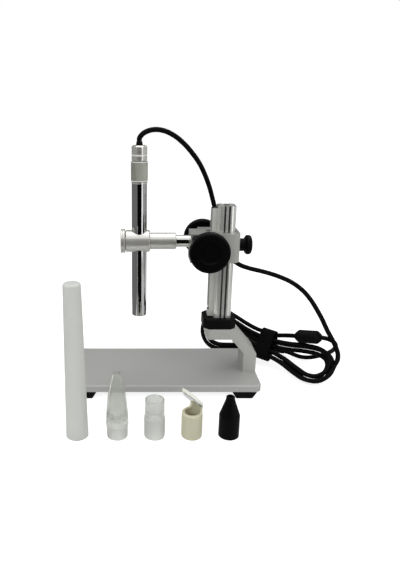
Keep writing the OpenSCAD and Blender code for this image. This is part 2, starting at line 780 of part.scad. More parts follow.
// A focus knob: the hub's inner end is at 0 and the dished face points up
hub_l = knob_reach - knob_t - hub_end;
knob_end = knob_reach - hub_end;
dish_depth = 1.6;
module knob_shape() {
    r = knob_d / 2;
    bore = shaft_d / 2 + fit_gap;
    bore_end = shaft_half - hub_end + 0.3;
    difference() {
        turned([
            [bore, 0], [hub_d / 2 - 0.5, 0], [hub_d / 2, 0.5], [hub_d / 2, hub_l], [r - 1, hub_l],
            [r, hub_l + 1], [r, knob_end - 1.6], [r - 0.5, knob_end - 0.5], [r - 1.6, knob_end],
            [dish_d / 2, knob_end], [dish_d / 2 - 1.2, knob_end - dish_depth], [0, knob_end - dish_depth],
            [0, bore_end], [bore, bore_end],
        ]);
        translate([0, 0, hub_l / 2]) rotate([90, 0, 0]) cylinder(d = grub_d + 2 * fit_gap, h = hub_d);
    }
}

module at_front_knob() {
    translate([shaft_x, axis_y - hub_end, carriage_z]) rotate([90, 0, 0]) children();
}
module at_rear_knob() {
    translate([shaft_x, axis_y + hub_end, carriage_z]) rotate([90, 0, 180]) children();
}

module front_knob() {
    color("#141414") at_front_knob() knob_shape();
}
module rear_knob() {
    color("#141414") at_rear_knob() knob_shape();
}

module knob_grub() {
    low = shaft_d / 2 + fit_gap;
    translate([0, -low, hub_l / 2]) rotate([90, 0, 0]) difference() {
        cylinder(d = grub_d, h = hub_d / 2 - free_gap - low);
        translate([0, 0, hex_depth]) cylinder(d = hex_d, h = hub_d, $fn = 6);
    }
}
module knob_set_screws() {
    color("#303030") {
        at_front_knob() knob_grub();
        at_rear_knob() knob_grub();
    }
}

stud_sunk = 3;
module lock_knob() {
    stem = lock_stem_d / 2;
    head = lock_head_d / 2;
    bore = lock_stud_d / 2 + fit_gap;
    bore_end = lock_stem_l + stud_sunk + 0.2;
    top = lock_stem_l + lock_head_t;
    color("#141414") turned_x(lock_low, carriage_z, [
        [bore, 0], [stem - 0.3, 0], [stem, 0.3], [stem, lock_stem_l - 0.6], [stem + 0.6, lock_stem_l],
        [head - 1.2, lock_stem_l], [head, lock_stem_l + 1.2], [head, top - 1.8], [head - 0.6, top - 0.6],
        [head - 1.8, top], [0, top], [0, bore_end], [bore, bore_end],
    ]);
}

module lock_stud() {
    low = pad_x + lock_pad_t + 0.1;
    high = lock_low + lock_stem_l + stud_sunk;
    color("#c8c8c8") turned_x(low, carriage_z, bevelled(lock_stud_d / 2, high - low, 0.3));
}

module arm_sleeve() {
    r = sleeve_d / 2;
    bore = rod_d / 2 + run_gap;
    floor_at = rod_reach - 0.5 - clamp_right;
    color("#cfcfcb") turned_x(clamp_right, arm_z, [
        [0, -spigot_l], [spigot_d / 2, -spigot_l], [spigot_d / 2, 0], [r, 0], [r, sleeve_l - 0.6],
        [r - 0.6, sleeve_l], [bore, sleeve_l], [bore, floor_at], [0, floor_at],
    ]);
}

module clamp_body() {
    color("#cfcfcb") difference() {
        turned_x(clamp_left, arm_z, bevelled(clamp_d / 2, clamp_l, 0.7));
        translate([pen_x, axis_y, arm_z - clamp_d]) cylinder(d = pen_hole_d, h = 2 * clamp_d);
        translate([clamp_right - spigot_l - 0.05, axis_y, arm_z]) rotate([0, 90, 0])
            cylinder(d = spigot_d + 2 * fit_gap, h = spigot_l + over);
        translate([clamp_left - over, axis_y, arm_z]) rotate([0, 90, 0])
            cylinder(d = clamp_thread_d + 2 * run_gap, h = pen_x - clamp_left);
    }
}

clamp_knob_x = clamp_left - 0.3 - clamp_knob_t;
stud_in_knob = 2.2;
module clamp_knob() {
    r = clamp_knob_d / 2;
    t = clamp_knob_t;
    bore = clamp_thread_d / 2 + fit_gap;
    color("#d6d6d2") turned_x(clamp_knob_x, arm_z, [
        [0, 0], [r - 0.4, 0], [r, 0.4], [r, 0.4 * t], [r - 0.7, 0.44 * t], [r - 0.7, 0.56 * t], [r, 0.6 * t],
        [r, t - 0.4], [r - 0.4, t], [bore, t], [bore, t - stud_in_knob], [0, t - stud_in_knob],
    ]);
}

clamp_pad_x = pen_x - pen_hole_d / 2 - clamp_pad_t;
module clamp_stud() {
    low = clamp_left - 0.3 - stud_in_knob + 0.05;
    color("#c8c8c8") turned_x(low, arm_z, bevelled(clamp_thread_d / 2, clamp_pad_x - 0.1 - low, 0.4));
}

module clamp_pad() {
    color("#e6e2d6") turned_x(clamp_pad_x, arm_z, bevelled(clamp_thread_d / 2 - 0.2, clamp_pad_t, 0.2));
}

// A piece of the microscope at height z on the pen's axis
module on_pen(z) {
    translate([pen_x, axis_y, z]) children();
}

// A plain ring or disc
module ring(r_out, r_in, h) {
    turned([[r_in, 0], [r_out, 0], [r_out, h], [r_in, h]]);
}

in_barrel = barrel_in / 2 - fit_gap;
module barrel_tube() {
    r = barrel_d / 2;
    shank = r - land_step;
    color("#dcdcdc") on_pen(nose_z) turned([
        [barrel_in / 2, 0], [r - 0.3, 0], [r, 0.3], [r, nose_land + 0.3],
        [shank, nose_land + 0.3 + land_taper], [shank, barrel_l], [barrel_in / 2, barrel_l],
    ]);
}

module nose_ring() {
    color("#202020") on_pen(nose_z) ring(in_barrel, in_barrel - 1.2, window_z - nose_z);
}

module front_window() {
    color("#cfe0e6", 0.5) on_pen(window_z) ring(in_barrel, 0, 0.8);
}

led_h = 1.4;
led_count = 6;
led_board_hole = 2.8;
led_edge = 0.385;
led_d = in_barrel - led_board_hole - 2 * led_edge;
led_circle = led_board_hole + led_edge + led_d / 2;
module led_board() {
    color("#1f5f34") on_pen(board_z) ring(in_barrel, led_board_hole, 1);
}

module leds() {
    color("#f4f0d0") on_pen(board_z) for (i = [1:led_count]) rotate(360 * i / led_count)
        translate([led_circle, 0, -led_h]) cylinder(d = led_d, h = led_h);
}

ledge_r = 2.6;
module lens_holder() {
    r = lens_d / 2;
    color("#181818") on_pen(lens_low) turned([
        [r, 0], [in_barrel, 0], [in_barrel, lens_l], [r, lens_l], [r, lens_l * 0.6], [ledge_r, lens_l * 0.6],
        [ledge_r, lens_l * 0.4], [r, lens_l * 0.4],
    ]);
}

// A lens of edge thickness t whose two faces bulge by b
function lens_face(r, z, b) = [for (i = [0:6]) [r * i / 6, z + b * (1 - pow(i / 6, 2))]];
function lens_outline(r, t, b) = let (top = lens_face(r, t, b), low = lens_face(r, 0, -b))
    concat(low, [for (i = [6:-1:0]) top[i]]);
module objective_lenses() {
    r = lens_d / 2 - fit_gap;
    color("#cfe0e6", 0.5) {
        on_pen(lens_low + lens_l * 0.4 - 3) turned(lens_outline(r, 2.4, 0.5));
        on_pen(lens_low + lens_l * 0.6 + 0.6) turned(lens_outline(r, 2, 0.5));
    }
}

hub_r = hub_of_carriage_d / 2;
module retaining_ring() {
    color("#909090") on_pen(stop_low) ring(in_barrel, hub_r + 0.3, stop_h);
}

slot_end = 34;
wire_r = 2;
spindle_in_cap = 8;
module tail_plug() {
    r = spindle_d / 2;
    flange = barrel_d / 2 + 0.15;
    flange_top = plug_h + lip_h;
    top = cap_low + spindle_in_cap - plug_low;
    color("#b8b8b4") on_pen(plug_low) difference() {
        turned([
            [wire_r, 0], [in_barrel, 0], [in_barrel, plug_h], [flange, plug_h], [flange, flange_top],
            [r, flange_top], [r, top], [wire_r, top],
        ]);
        translate([0, 0, -over]) linear_extrude(flange_top + 2 * over) difference() {
            circle(pin_r + pin_d / 2 + 0.1);
            circle(pin_r - pin_d / 2 - 0.1);
            polygon([[0, 0], [-barrel_d, -barrel_d * tan(slot_end)], [-barrel_d, barrel_d * tan(slot_end)]]);
        }
    }
}

module end_cap() {
    r = cap_d / 2;
    bore = spindle_d / 2 + fit_gap;
    bore_end = spindle_in_cap + 0.2;
    groove = 0.35 * cap_h;
    color("#cfcfcb") on_pen(cap_low) turned([
        [bore, 0], [r - 0.4, 0], [r, 0.4], [r, groove - 0.3], [r - 0.5, groove], [r - 0.5, groove + 0.5],
        [r, groove + 0.8], [r, cap_h - 0.9],
        [r - 0.9, cap_h], [wire_r + fit_gap, cap_h], [wire_r + fit_gap, bore_end], [bore, bore_end],
    ]);
}

module cable_gland() {
    low = spindle_in_cap + free_gap - cap_h;
    color("#161616") on_pen(cap_top) turned([
        [0, low], [wire_r, low], [wire_r, 0], [gland_d / 2, 0], [gland_d / 2, 0.5],
        [cord_d / 2 + 0.2, gland_h], [0, gland_h],
    ]);
}

module at_drive_pin(z) {
    translate([pin_r, 0, z]) children();
}
pin_low = screw_high - 2.5;
pin_high = ring_low + 4;

module focus_ring() {
    r = ring_d / 2;
    color("#b9bdb4") on_pen(0) difference() {
        translate([0, 0, ring_low]) turned([
            [spindle_d / 2 + run_gap, 0], [r - 0.5, 0], [r, 0.5], [r, ring_h - 0.5], [r - 0.5, ring_h],
            [spindle_d / 2 + run_gap, ring_h],
        ]);
        at_drive_pin(ring_low - over) cylinder(d = pin_d + 2 * fit_gap, h = pin_high - ring_low + over + 0.1);
    }
}

module drive_pin() {
    color("#c8c8c8") on_pen(0) at_drive_pin(pin_low) cylinder(d = pin_d, h = pin_high - pin_low);
}

module focus_screw() {
    color("#b08d57") on_pen(0) difference() {
        translate([0, 0, screw_low])
            ring(barrel_in / 2 - guide_gap, hub_r + guide_gap, screw_high - screw_low);
        at_drive_pin(pin_low - 0.1) cylinder(d = pin_d + 2 * fit_gap, h = screw_high - pin_low + over);
    }
}

module sensor_carriage() {
    top = plug_low - 0.5 - sensor_travel - sensor_z;
    slider_r = barrel_in / 2 - guide_gap;
    color("#242424") on_pen(sensor_z) turned([
        [wire_r, 0], [slider_r, 0], [slider_r, sensor_disc_h], [hub_r, sensor_disc_h], [hub_r, top],
        [wire_r, top],
    ]);
}

board_t = 1;
chip_w = 4.6;
chip_h = 0.8;
module sensor_board() {
    color("#1f5f34") on_pen(sensor_z - board_t) ring(barrel_in / 2 - free_gap, 0, board_t);
}

module image_sensor() {
    color("#303040") on_pen(sensor_z - board_t - chip_h / 2) cube([chip_w, chip_w, chip_h], center = true);
}

module free_cable() {
    color("#141414") tube_along(free_route, cord_d, 8);
}

module cable_hank() {
    color("#141414") tube_along(hank_points, cord_d, 6);
}

module cable_tail() {
    color("#141414") tube_along(tail_route, cord_d, 8);
}

// Sets X along the hank and Y across it, at its waist
module at_waist() {
    u = hank_along(0.5);
    translate(hank_axis(0.5))
        rotate([hank_tilt(0.5), -asin(u[2]), atan2(u[1], u[0])]) children();
}

strap_low = waist + cord_d / 2 + strap_room;
strap_high = waist + cord_d + strap_room;
strap_half = layer_step / 2 + cord_d / 2 + strap_room;
module strap_section(grow) {
    translate([(strap_high - strap_low) / 2, 0])
        rounded_plate(strap_low + strap_high + 2 * grow, 2 * (strap_half + grow), strap_half * 0.6 + grow);
}
module cable_strap() {
    color("#1c1c1c") at_waist() translate([-strap_w / 2, 0, 0])
        rotate([90, 0, 90]) linear_extrude(strap_w) difference() {
            strap_section(strap_t);
            strap_section(0);
        }
}

// Sets +Z along the straight stretch of the tail that carries the bead
module at_bead() {
    a = tail_route[bead_from];
    b = tail_route[bead_from + 1];
    way = unit(b - a);
    translate((a + b) / 2) rotate([0, acos(way[2]), atan2(way[1], way[0])]) children();
}
module ferrite_bead() {
    bore = cord_d / 2 + 0.15;
    neck = cord_d / 2 + 1.2;
    r = bead_d / 2;
    taper = 3;
    h = bead_l / 2;
    color("#181818") at_bead() turned([
        [bore, -h], [neck, -h], [r - 0.5, taper - 0.6 - h], [r, taper + 0.4 - h],
        [r, h - taper - 0.4], [r - 0.5, h - taper + 0.6], [neck, h], [bore, h],
    ]);
}

// Sets +X along the plug, from the end of the tail
module at_plug() {
    end = tail_route[len(tail_route) - 1];
    way = end - tail_route[len(tail_route) - 2];
    translate(end) rotate(atan2(way[1], way[0])) translate([0.2, 0, 0]) children();
}
module plug_grip() {
    thin = cord_d / 2 + 0.5;
    thick = cord_d / 2 + 1.6;
    color("#161616") at_plug() {
        rotate([0, 90, 0]) turned([[0, 0], [thin, 0], [thick, relief_l], [0, relief_l]]);
        translate([relief_l + grip_l / 2, 0, -grip_tall / 2]) linear_extrude(grip_tall)
            rounded_plate(grip_l, grip_w, grip_corner_r);
    }
}
module plug_shell() {
    color("#d0d0d0") at_plug() translate([relief_l + grip_l, 0, 0])
        rotate([90, 0, 90]) linear_extrude(shell_l) difference() {
            square([shell_w, shell_tall], center = true);
            square([shell_w - 2 * shell_wall, shell_tall - 2 * shell_wall], center = true);
        }
}
module plug_tongue() {
    w = shell_w - 2 * shell_wall - 0.2;
    color("#e8e8e4") at_plug() translate([relief_l + grip_l, -w / 2, -shell_tall / 2 + shell_wall + 0.05])
        cube([shell_l - contact_back, w, contact_t]);
}

// A tip on its place in the row
module on_row(i) {
    translate([tip_x[i], row_y, 0]) children();
}

tip_bore = tip_bore_d / 2;
skirt = skirt_d / 2;

cover_top_d = 12.1;
dome_h = 2;
module long_cover() {
    r = cover_d / 2;
    top = cover_top_d / 2;
    wall = 1.2;
    roof = cover_h - 1.5 * wall;
    dome = [for (a = [0:15:75]) [top - dome_h * (1 - cos(a)), cover_h - dome_h + dome_h * sin(a)]];
    color("#e4e6e2", 0.8) on_row(0) turned(concat(
        [[tip_bore, 0], [r - 0.3, 0], [r, 0.3]], dome,
        [[0, cover_h], [0, roof], [top - wall - 1, roof], [top - wall, cover_h - dome_h - wall],
         [tip_bore, tip_bore_l]]
    ));
}

cone_skirt_h = 9;
cone_mouth = 2.9;
module cone_tip() {
    shoulder = skirt + 0.7;
    low = cone_skirt_h + 1.4;
    bulge = 1.2;
    wall = 1;
    ledge = tip_bore - 1;
    ledge_top = tip_bore_l + 1;
    side = [
        for (i = [0:8]) let (t = i / 8)
            [mix(shoulder, cone_mouth, t) + bulge * sin(180 * t), mix(low, cone_h, t)]
    ];
    inside = [for (i = [8:-1:1]) if (side[i][1] > ledge_top + wall) [side[i][0] - wall, side[i][1]]];
    color("#dfe6e8", 0.5) on_row(1) turned(concat(
        [[tip_bore, 0], [skirt, 0], [skirt, cone_skirt_h], [shoulder, cone_skirt_h + 0.5]], side,
        inside, [[ledge, ledge_top], [ledge, tip_bore_l], [tip_bore, tip_bore_l]]
    ));
}

cup_skirt_h = 15.3;
module cup_tip() {
    edge = 0.3;
    upper = skirt - edge;
    inner = upper - 1.4;
    ledge = tip_bore - 0.8;
    color("#dfe6e8", 0.5) on_row(2) turned([
        [tip_bore, 0], [skirt, 0], [skirt, cup_skirt_h], [upper, cup_skirt_h + edge], [upper, cup_h - edge],
        [upper - edge, cup_h], [inner + edge, cup_h], [inner, cup_h - edge], [inner, tip_bore_l + 1],
        [ledge, tip_bore_l + 1], [ledge, tip_bore_l], [tip_bore, tip_bore_l],
    ]);
}

// The mirror's slanted lid closes the cup's tube, carried by an arm that is left of the tube's wall
mirror_cup_h = 19;
mirror_turn = 38;
mirror_ledge = tip_bore - 0.7;
lid_lean = 47;
lid_t = 2;
lid_z = mirror_h - skirt * tan(lid_lean);
glass_t = 0.8;
glass_gap = 0.3;
glass_rim = 0.5;
lid_arm_from = 3.7;
lid_arm_foot = 2;
lid_arm_skin = 0.1;
module on_mirror_cup() {
    on_row(3) rotate(mirror_turn) children();
}
// A slanted slice between two depths below the lid's outer face
module lid_slice(from, to) {
    reach = 4 * skirt;
    translate([0, 0, lid_z]) rotate([0, lid_lean, 0]) translate([-reach / 2, -reach / 2, -to])
        cube([reach, reach, to - from]);
}
// The side of the tube that the arm takes up, with a round foot towards the rim
module lid_arm_side() {
    tall = mirror_h - mirror_cup_h;
    translate([lid_arm_from, -skirt, mirror_cup_h - 1]) cube([skirt, 2 * skirt, tall]);
    difference() {
        translate([lid_arm_from - lid_arm_foot, -skirt, mirror_cup_h - 1])
            cube([2 * lid_arm_foot, 2 * skirt, lid_arm_foot + 1]);
        translate([lid_arm_from - lid_arm_foot, 0, mirror_cup_h + lid_arm_foot]) rotate([90, 0, 0])
            cylinder(r = lid_arm_foot, h = 4 * skirt, center = true);
    }
}
module mirror_tip() {
    color("#e6e4cf") on_mirror_cup() {
        turned([
            [tip_bore, 0], [skirt, 0], [skirt, mirror_cup_h - 0.3], [skirt - 0.3, mirror_cup_h],
            [mirror_ledge, mirror_cup_h], [mirror_ledge, tip_bore_l], [tip_bore, tip_bore_l],
        ]);
        intersection() {
            translate([0, 0, mirror_cup_h - 1])
                ring(skirt - lid_arm_skin, mirror_ledge + lid_arm_skin, mirror_h - mirror_cup_h);
            lid_arm_side();
            lid_slice(lid_t / 2, mirror_h);
        }
        intersection() {
            translate([0, 0, mirror_cup_h]) cylinder(r = skirt, h = mirror_h - mirror_cup_h + over);
            lid_slice(0, lid_t);
        }
    }
}
module mirror_glass() {
    color("#f0f4f4") on_mirror_cup() difference() {
        intersection() {
            translate([0, 0, mirror_cup_h]) cylinder(r = skirt - glass_rim, h = mirror_h);
            lid_slice(lid_t, lid_t + glass_t);
        }
        translate([lid_arm_from - glass_gap, -skirt, mirror_cup_h]) cube([skirt, 2 * skirt, mirror_h]);
    }
}

black_skirt_h = 16.5;
black_neck = 3.3;
black_neck_l = 2.8;
black_mouth = 3;
module black_tip() {
    r = skirt + 0.1;
    edge = 0.3;
    ledge = tip_bore - 1.4;
    mouth = black_mouth - 1;
    color("#141414") on_row(4) turned([
        [tip_bore, 0], [r - edge, 0], [r, edge], [r, black_skirt_h], [black_neck, black_h - black_neck_l],
        [black_mouth, black_h - edge], [black_mouth - edge, black_h], [mouth, black_h], [mouth, black_h - 3],
        [ledge, tip_bore_l + 4], [ledge, tip_bore_l], [tip_bore, tip_bore_l],
    ]);
}

base_plate();
rubber_feet();
foot_screws();
bracket();
bracket_screws();
column_collar();
column();
column_bolt();
gear_rack();
carriage_block();
pinion_cover();
cover_screws();
slide_liner();
shaft_bushes();
arm_rod();
arm_set_screw();
lock_pad();
focus_shaft();
pinion_gear();
front_knob();
rear_knob();
knob_set_screws();
lock_knob();
lock_stud();
arm_sleeve();
clamp_body();
clamp_knob();
clamp_stud();
clamp_pad();
barrel_tube();
nose_ring();
front_window();
led_board();
leds();
lens_holder();
objective_lenses();
retaining_ring();
tail_plug();
end_cap();
cable_gland();
focus_ring();
drive_pin();
focus_screw();
sensor_carriage();
sensor_board();
image_sensor();
free_cable();
cable_hank();
cable_tail();
cable_strap();
ferrite_bead();
plug_grip();
plug_shell();
plug_tongue();
long_cover();
cone_tip();
cup_tip();
mirror_tip();
mirror_glass();
black_tip();
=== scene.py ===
# %% [markdown]
# # A pen microscope on its stand
# The object is a chrome pen with a camera inside. A clamp holds it on a small rack-and-pinion stand, its
# cable is tied in a hank, and five slip-on tips stand in a row in front. The CAD model already has every
# hard piece in place. This lesson adds what CAD leaves out: the cable as a real cable, knurls and ribs,
# and the finishes. Everything is in metres, in the CAD model's own frame, so a piece goes where the CAD
# says it is.

# %% Load the frame
import json
import math

import bmesh
import bpy
import numpy as np
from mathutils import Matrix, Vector


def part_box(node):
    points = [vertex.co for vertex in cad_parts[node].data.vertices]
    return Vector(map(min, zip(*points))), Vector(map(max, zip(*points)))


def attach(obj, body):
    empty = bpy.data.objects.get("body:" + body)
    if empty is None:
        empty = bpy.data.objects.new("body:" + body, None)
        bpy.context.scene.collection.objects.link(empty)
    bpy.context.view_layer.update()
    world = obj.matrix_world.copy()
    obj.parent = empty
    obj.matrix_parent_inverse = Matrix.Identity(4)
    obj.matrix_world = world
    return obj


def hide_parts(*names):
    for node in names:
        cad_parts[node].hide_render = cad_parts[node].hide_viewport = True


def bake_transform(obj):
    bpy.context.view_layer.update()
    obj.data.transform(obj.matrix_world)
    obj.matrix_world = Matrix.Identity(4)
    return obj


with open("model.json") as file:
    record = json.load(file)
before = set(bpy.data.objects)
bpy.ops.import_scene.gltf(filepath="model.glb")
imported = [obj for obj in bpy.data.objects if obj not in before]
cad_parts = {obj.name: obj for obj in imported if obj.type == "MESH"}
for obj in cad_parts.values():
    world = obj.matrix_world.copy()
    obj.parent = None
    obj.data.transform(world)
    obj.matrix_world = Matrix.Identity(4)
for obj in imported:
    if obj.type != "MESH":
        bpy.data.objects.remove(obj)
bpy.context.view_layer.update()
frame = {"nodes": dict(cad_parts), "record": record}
nodes = frame["nodes"]
MM = 0.001

# %% [markdown]
# ## Camera
# The photograph looks down at the stand by about eighteen degrees from nearly half a metre away. The
# place and the lens come from matching known edges of the stand to the picture. The picture's middle lies
# to the right of the line of sight, so the camera is shifted sideways instead of turned, which keeps the
# uprights parallel.

# %% Camera
camera = bpy.data.objects.new("camera", bpy.data.cameras.new("camera"))
bpy.context.collection.objects.link(camera)
look_down = 18
camera.location = (-0.0219, -0.3976, 0.2229)
camera.rotation_euler = (math.radians(90 - look_down), 0, 0)
camera.data.lens = 34.74
camera.data.shift_x = 0.1105
bpy.context.scene.camera = camera
bpy.context.scene.view_settings.view_transform = "Standard"
print("camera at", tuple(round(x, 3) for x in camera.location))

# %% [markdown]
# ## Small helpers
# A shader tree takes many short steps: make a node, set its sockets, link it. Three helpers keep the
# later cells short. Colours are written as they look on a screen, and Blender mixes light in linear
# values, so each written colour is converted once.

# %% Helpers for shader trees
def add_node(tree, kind, inputs=None, **settings):
    """Adds a node, sets its properties, and sets those of its inputs that stay constant."""
    made = tree.nodes.new(kind)
    for name, value in settings.items():
        setattr(made, name, value)
    for name, value in (inputs or {}).items():
        made.inputs[name].default_value = value
    return made


def linear(written):
    """A written colour such as c9cbc6 as linear red, green, blue and alpha."""
    parts = [int(written[i:i + 2], 16) / 255 for i in (0, 2, 4)]
    return [p / 12.92 if p <= 0.04045 else ((p + 0.055) / 1.055) ** 2.4 for p in parts] + [1.0]


def material(name):
    """A new material, its emptied tree, and the tree's output node."""
    made = bpy.data.materials.new(name)
    made.use_nodes = True
    made.node_tree.nodes.clear()
    return made, made.node_tree, add_node(made.node_tree, "ShaderNodeOutputMaterial")


# %% [markdown]
# ## Studio
# The picture's background is plain white. The world and the floor are white for rays that look at them
# straight, by reflection or through glass. For the light that they throw on the object they are plain
# grey, so that a colour renders about as it is written. The floor also keeps part of its shading, so a
# soft shadow stays.

# %% White background and floor
def seen_directly(tree):
    """1 for camera, glossy and transmission rays, 0 for the rays that carry light."""
    path = add_node(tree, "ShaderNodeLightPath")
    first = add_node(tree, "ShaderNodeMath", operation="MAXIMUM")
    second = add_node(tree, "ShaderNodeMath", operation="MAXIMUM")
    tree.links.new(path.outputs["Is Camera Ray"], first.inputs[0])
    tree.links.new(path.outputs["Is Glossy Ray"], first.inputs[1])
    tree.links.new(first.outputs[0], second.inputs[0])
    tree.links.new(path.outputs["Is Transmission Ray"], second.inputs[1])
    return second.outputs[0]


def white_world(light):
    """A world that looks white and lights the object at the given strength."""
    world = bpy.data.worlds.new("studio")
    bpy.context.scene.world = world
    world.use_nodes = True
    tree = world.node_tree
    tree.nodes.clear()
    lit = add_node(tree, "ShaderNodeBackground", {"Color": (1, 1, 1, 1), "Strength": light})
    white = add_node(tree, "ShaderNodeBackground", {"Color": (1, 1, 1, 1), "Strength": 1.0})
    both = add_node(tree, "ShaderNodeMixShader")
    output = add_node(tree, "ShaderNodeOutputWorld")
    tree.links.new(seen_directly(tree), both.inputs[0])
    tree.links.new(lit.outputs[0], both.inputs[1])
    tree.links.new(white.outputs[0], both.inputs[2])
    tree.links.new(both.outputs[0], output.inputs["Surface"])


def floor_paper():
    """White paper: a plain diffuse sheet for light, mostly glowing white where it is looked at."""
    made, tree, output = material("floor_paper")
    sheet = add_node(tree, "ShaderNodeBsdfDiffuse", {"Color": (0.8, 0.8, 0.8, 1)})
    shaded = add_node(tree, "ShaderNodeBsdfDiffuse", {"Color": (0.42, 0.42, 0.42, 1)})
    glow = add_node(tree, "ShaderNodeEmission", {"Strength": 0.82})
    looked_at = add_node(tree, "ShaderNodeAddShader")
    both = add_node(tree, "ShaderNodeMixShader")
    tree.links.new(shaded.outputs[0], looked_at.inputs[0])
    tree.links.new(glow.outputs[0], looked_at.inputs[1])
    tree.links.new(seen_directly(tree), both.inputs[0])
    tree.links.new(sheet.outputs[0], both.inputs[1])
    tree.links.new(looked_at.outputs[0], both.inputs[2])
    tree.links.new(both.outputs[0], output.inputs["Surface"])
    return made


def flat_sheet(name, corners, paper):
    """A stage sheet with the given corners, which is not part of the object."""
    mesh = bpy.data.meshes.new(name)
    mesh.from_pydata(corners, [], [range(len(corners))])
    sheet = bpy.data.objects.new(name, mesh)
    bpy.context.collection.objects.link(sheet)
    sheet.data.materials.append(paper)
    return sheet


white_world(light=0.55)
floor_half = 3.0
floor_z = -0.0001
floor_corners = [(x * floor_half, y * floor_half, floor_z) for x, y in ((-1, -1), (1, -1), (1, 1), (-1, 1))]
floor = flat_sheet("floor", floor_corners, floor_paper())
print("floor", floor.dimensions[:2])

# %% [markdown]
# ## Lamps and cards
# Chrome has no colour of its own: it shows the room. A photographer stands dark cards round it, and their
# reflections draw the dark streaks along the barrel. The cards here are seen only by glossy rays, so they
# shade nothing and never show in the picture. The front card is lower than the other upright ones, so
# that the tops of the arm and its clamp look over it to the bright room. Two wide soft lamps and one
# overhead give the plain studio light.

# %% Lamps and cards
def softbox(name, place, aim, size, watts):
    """A square area lamp that points at a place."""
    lamp = bpy.data.objects.new(name, bpy.data.lights.new(name, "AREA"))
    bpy.context.collection.objects.link(lamp)
    lamp.data.size = size
    lamp.data.energy = watts
    lamp.location = place
    lamp.rotation_euler = (Vector(aim) - Vector(place)).to_track_quat("-Z", "Y").to_euler()
    return lamp


def reflection_card(name, corners, grey):
    """A card of one grey that only shows in reflections."""
    made, tree, output = material(name)
    glow = add_node(tree, "ShaderNodeEmission", {"Color": (grey, grey, grey, 1), "Strength": 1.0})
    tree.links.new(glow.outputs[0], output.inputs["Surface"])
    card = flat_sheet(name, corners, made)
    card.visible_camera = False
    card.visible_diffuse = False
    card.visible_transmission = False
    card.visible_shadow = False
    return card


def upright(left, right, height):
    """Corners of an upright card between two floor points."""
    return [(*left, 0), (*right, 0), (*right, height), (*left, height)]


middle = (0, 0.02, 0.08)
softbox("key", (-0.75, -0.7, 1.0), middle, size=0.8, watts=7.5)
softbox("fill", (0.9, -0.6, 0.7), middle, size=0.8, watts=4.5)
softbox("overhead", (0.0, 0.25, 1.2), middle, size=1.0, watts=5)
card_h, front_card_h = 0.45, 0.24
left_front, left_back = (-0.15, -0.3), (-0.15, 0.2)
right_front, right_back = (0.26, -0.2), (0.35, 0.45)
for name, left, right, height, grey in (
        ("front_card", (-0.105, -0.125), (0.088, -0.125), front_card_h, 0.003),
        ("left_card", left_back, left_front, card_h, 0.17),
        ("back_card", left_back, right_back, card_h, 0.2),
        ("right_card", right_back, right_front, card_h, 0.42)):
    reflection_card(name, upright(left, right, height), grey)
table_z = floor_z / 2
table_corners = [(*corner, table_z) for corner in (left_front, (0.26, -0.3), right_back, (-0.15, 0.45))]
reflection_card("table_card", table_corners, 0.62)
print("three lamps, five cards")

# %% [markdown]
# ## The cable's route
# The cable leaves the top of the pen, arcs over to the stand, slips down behind the column and goes to
# the tied hank. Its points are the CAD model's own, in millimetres. A tube through bare points would have
# kinks, so the points become a smooth curve first. The curve's slopes weigh the neighbours by their
# distance, because the points aren't evenly spaced and a plain spline would swing out beside the long
# straight stretches.

# %% Points and smooth curve
cord_d = 3.9
pen_x = -20.1085
pen_y = 29.45
free_route = [
    (pen_x, pen_y, 198.1), (pen_x, pen_y, 199.8), (-18.2, 29.8, 202.7), (-14, 30.7, 205.2),
    (-7.6, 32, 206.3), (-1, 33.2, 205.2), (6.6, 35, 201.6), (14.6, 37, 195.2), (21, 38.8, 188.3),
    (27.2, 40.8, 180), (32, 42.8, 171), (36, 44.4, 161.4), (39, 45.6, 152), (41.6, 46.4, 143.4),
    (44.6, 47, 134.6), (48, 47.4, 124.6), (51.4, 47.6, 114.8), (54.8, 47.8, 106.4), (59, 48, 100),
    (64.6, 48, 96), (72, 48, 93.2), (84, 48, 90.2), (98, 48, 85.8), (110, 47.2, 80.4),
    (119.6, 45.2, 73.4), (125.4, 41.8, 66.8), (130, 38, 59.6), (134.4, 34, 51.6), (138, 30.6, 43.8),
    (141.8, 27.4, 37), (144.6, 24.2, 30.8), (146, 21.6, 25.6), (145.2, 19.5, 21.1), (142.9, 17.6, 18.4),
]
tail_route = [
    (60.7, 95.9, 34.8), (64.2, 94.3, 35.6), (68, 91.8, 35), (73, 87.8, 33), (78.4, 82.8, 30.7),
    (84, 77.8, 28.6), (89.8, 73, 27), (94.5, 69.5, 26.3), (99.1, 66, 25.7), (103.8, 62.4, 25.6),
    (108, 58.2, 27.2), (112, 53, 29.4), (116.1, 48, 31.2), (136.3, 34, 35.4), (140.2, 31.8, 35.2),
    (144, 31.4, 33.4), (147.2, 33, 30), (149, 36.4, 26), (149.6, 41, 21.4), (149, 46.4, 16.6),
    (146.4, 52, 11.8), (142, 57.2, 7.4), (136, 61.4, 4), (129.8, 65, 2.8), (124, 68.6, 3.4),
    (119.6, 71.9, 4.3), (116.4, 74.3, 4.3),
]


def smooth_curve(points, steps):
    """Points in metres on a smooth curve through points in millimetres, with so many steps for each span."""
    p = np.array(points, float) * MM
    gap = np.linalg.norm(np.diff(p, axis=0), axis=1)[:, None]
    way = np.diff(p, axis=0) / gap
    slope = np.vstack([way[:1], (way[:-1] * gap[1:] + way[1:] * gap[:-1]) / (gap[1:] + gap[:-1]), way[-1:]])
    out = []
    for i in range(len(p) - 1):
        for t in np.arange(steps) / steps:
            start = p[i] * (1 + 2 * t) * (1 - t) ** 2 + p[i + 1] * t * t * (3 - 2 * t)
            out.append(start + gap[i] * (slope[i] * t * (1 - t) ** 2 - slope[i + 1] * t * t * (1 - t)))
    return np.array(out + [p[-1]])


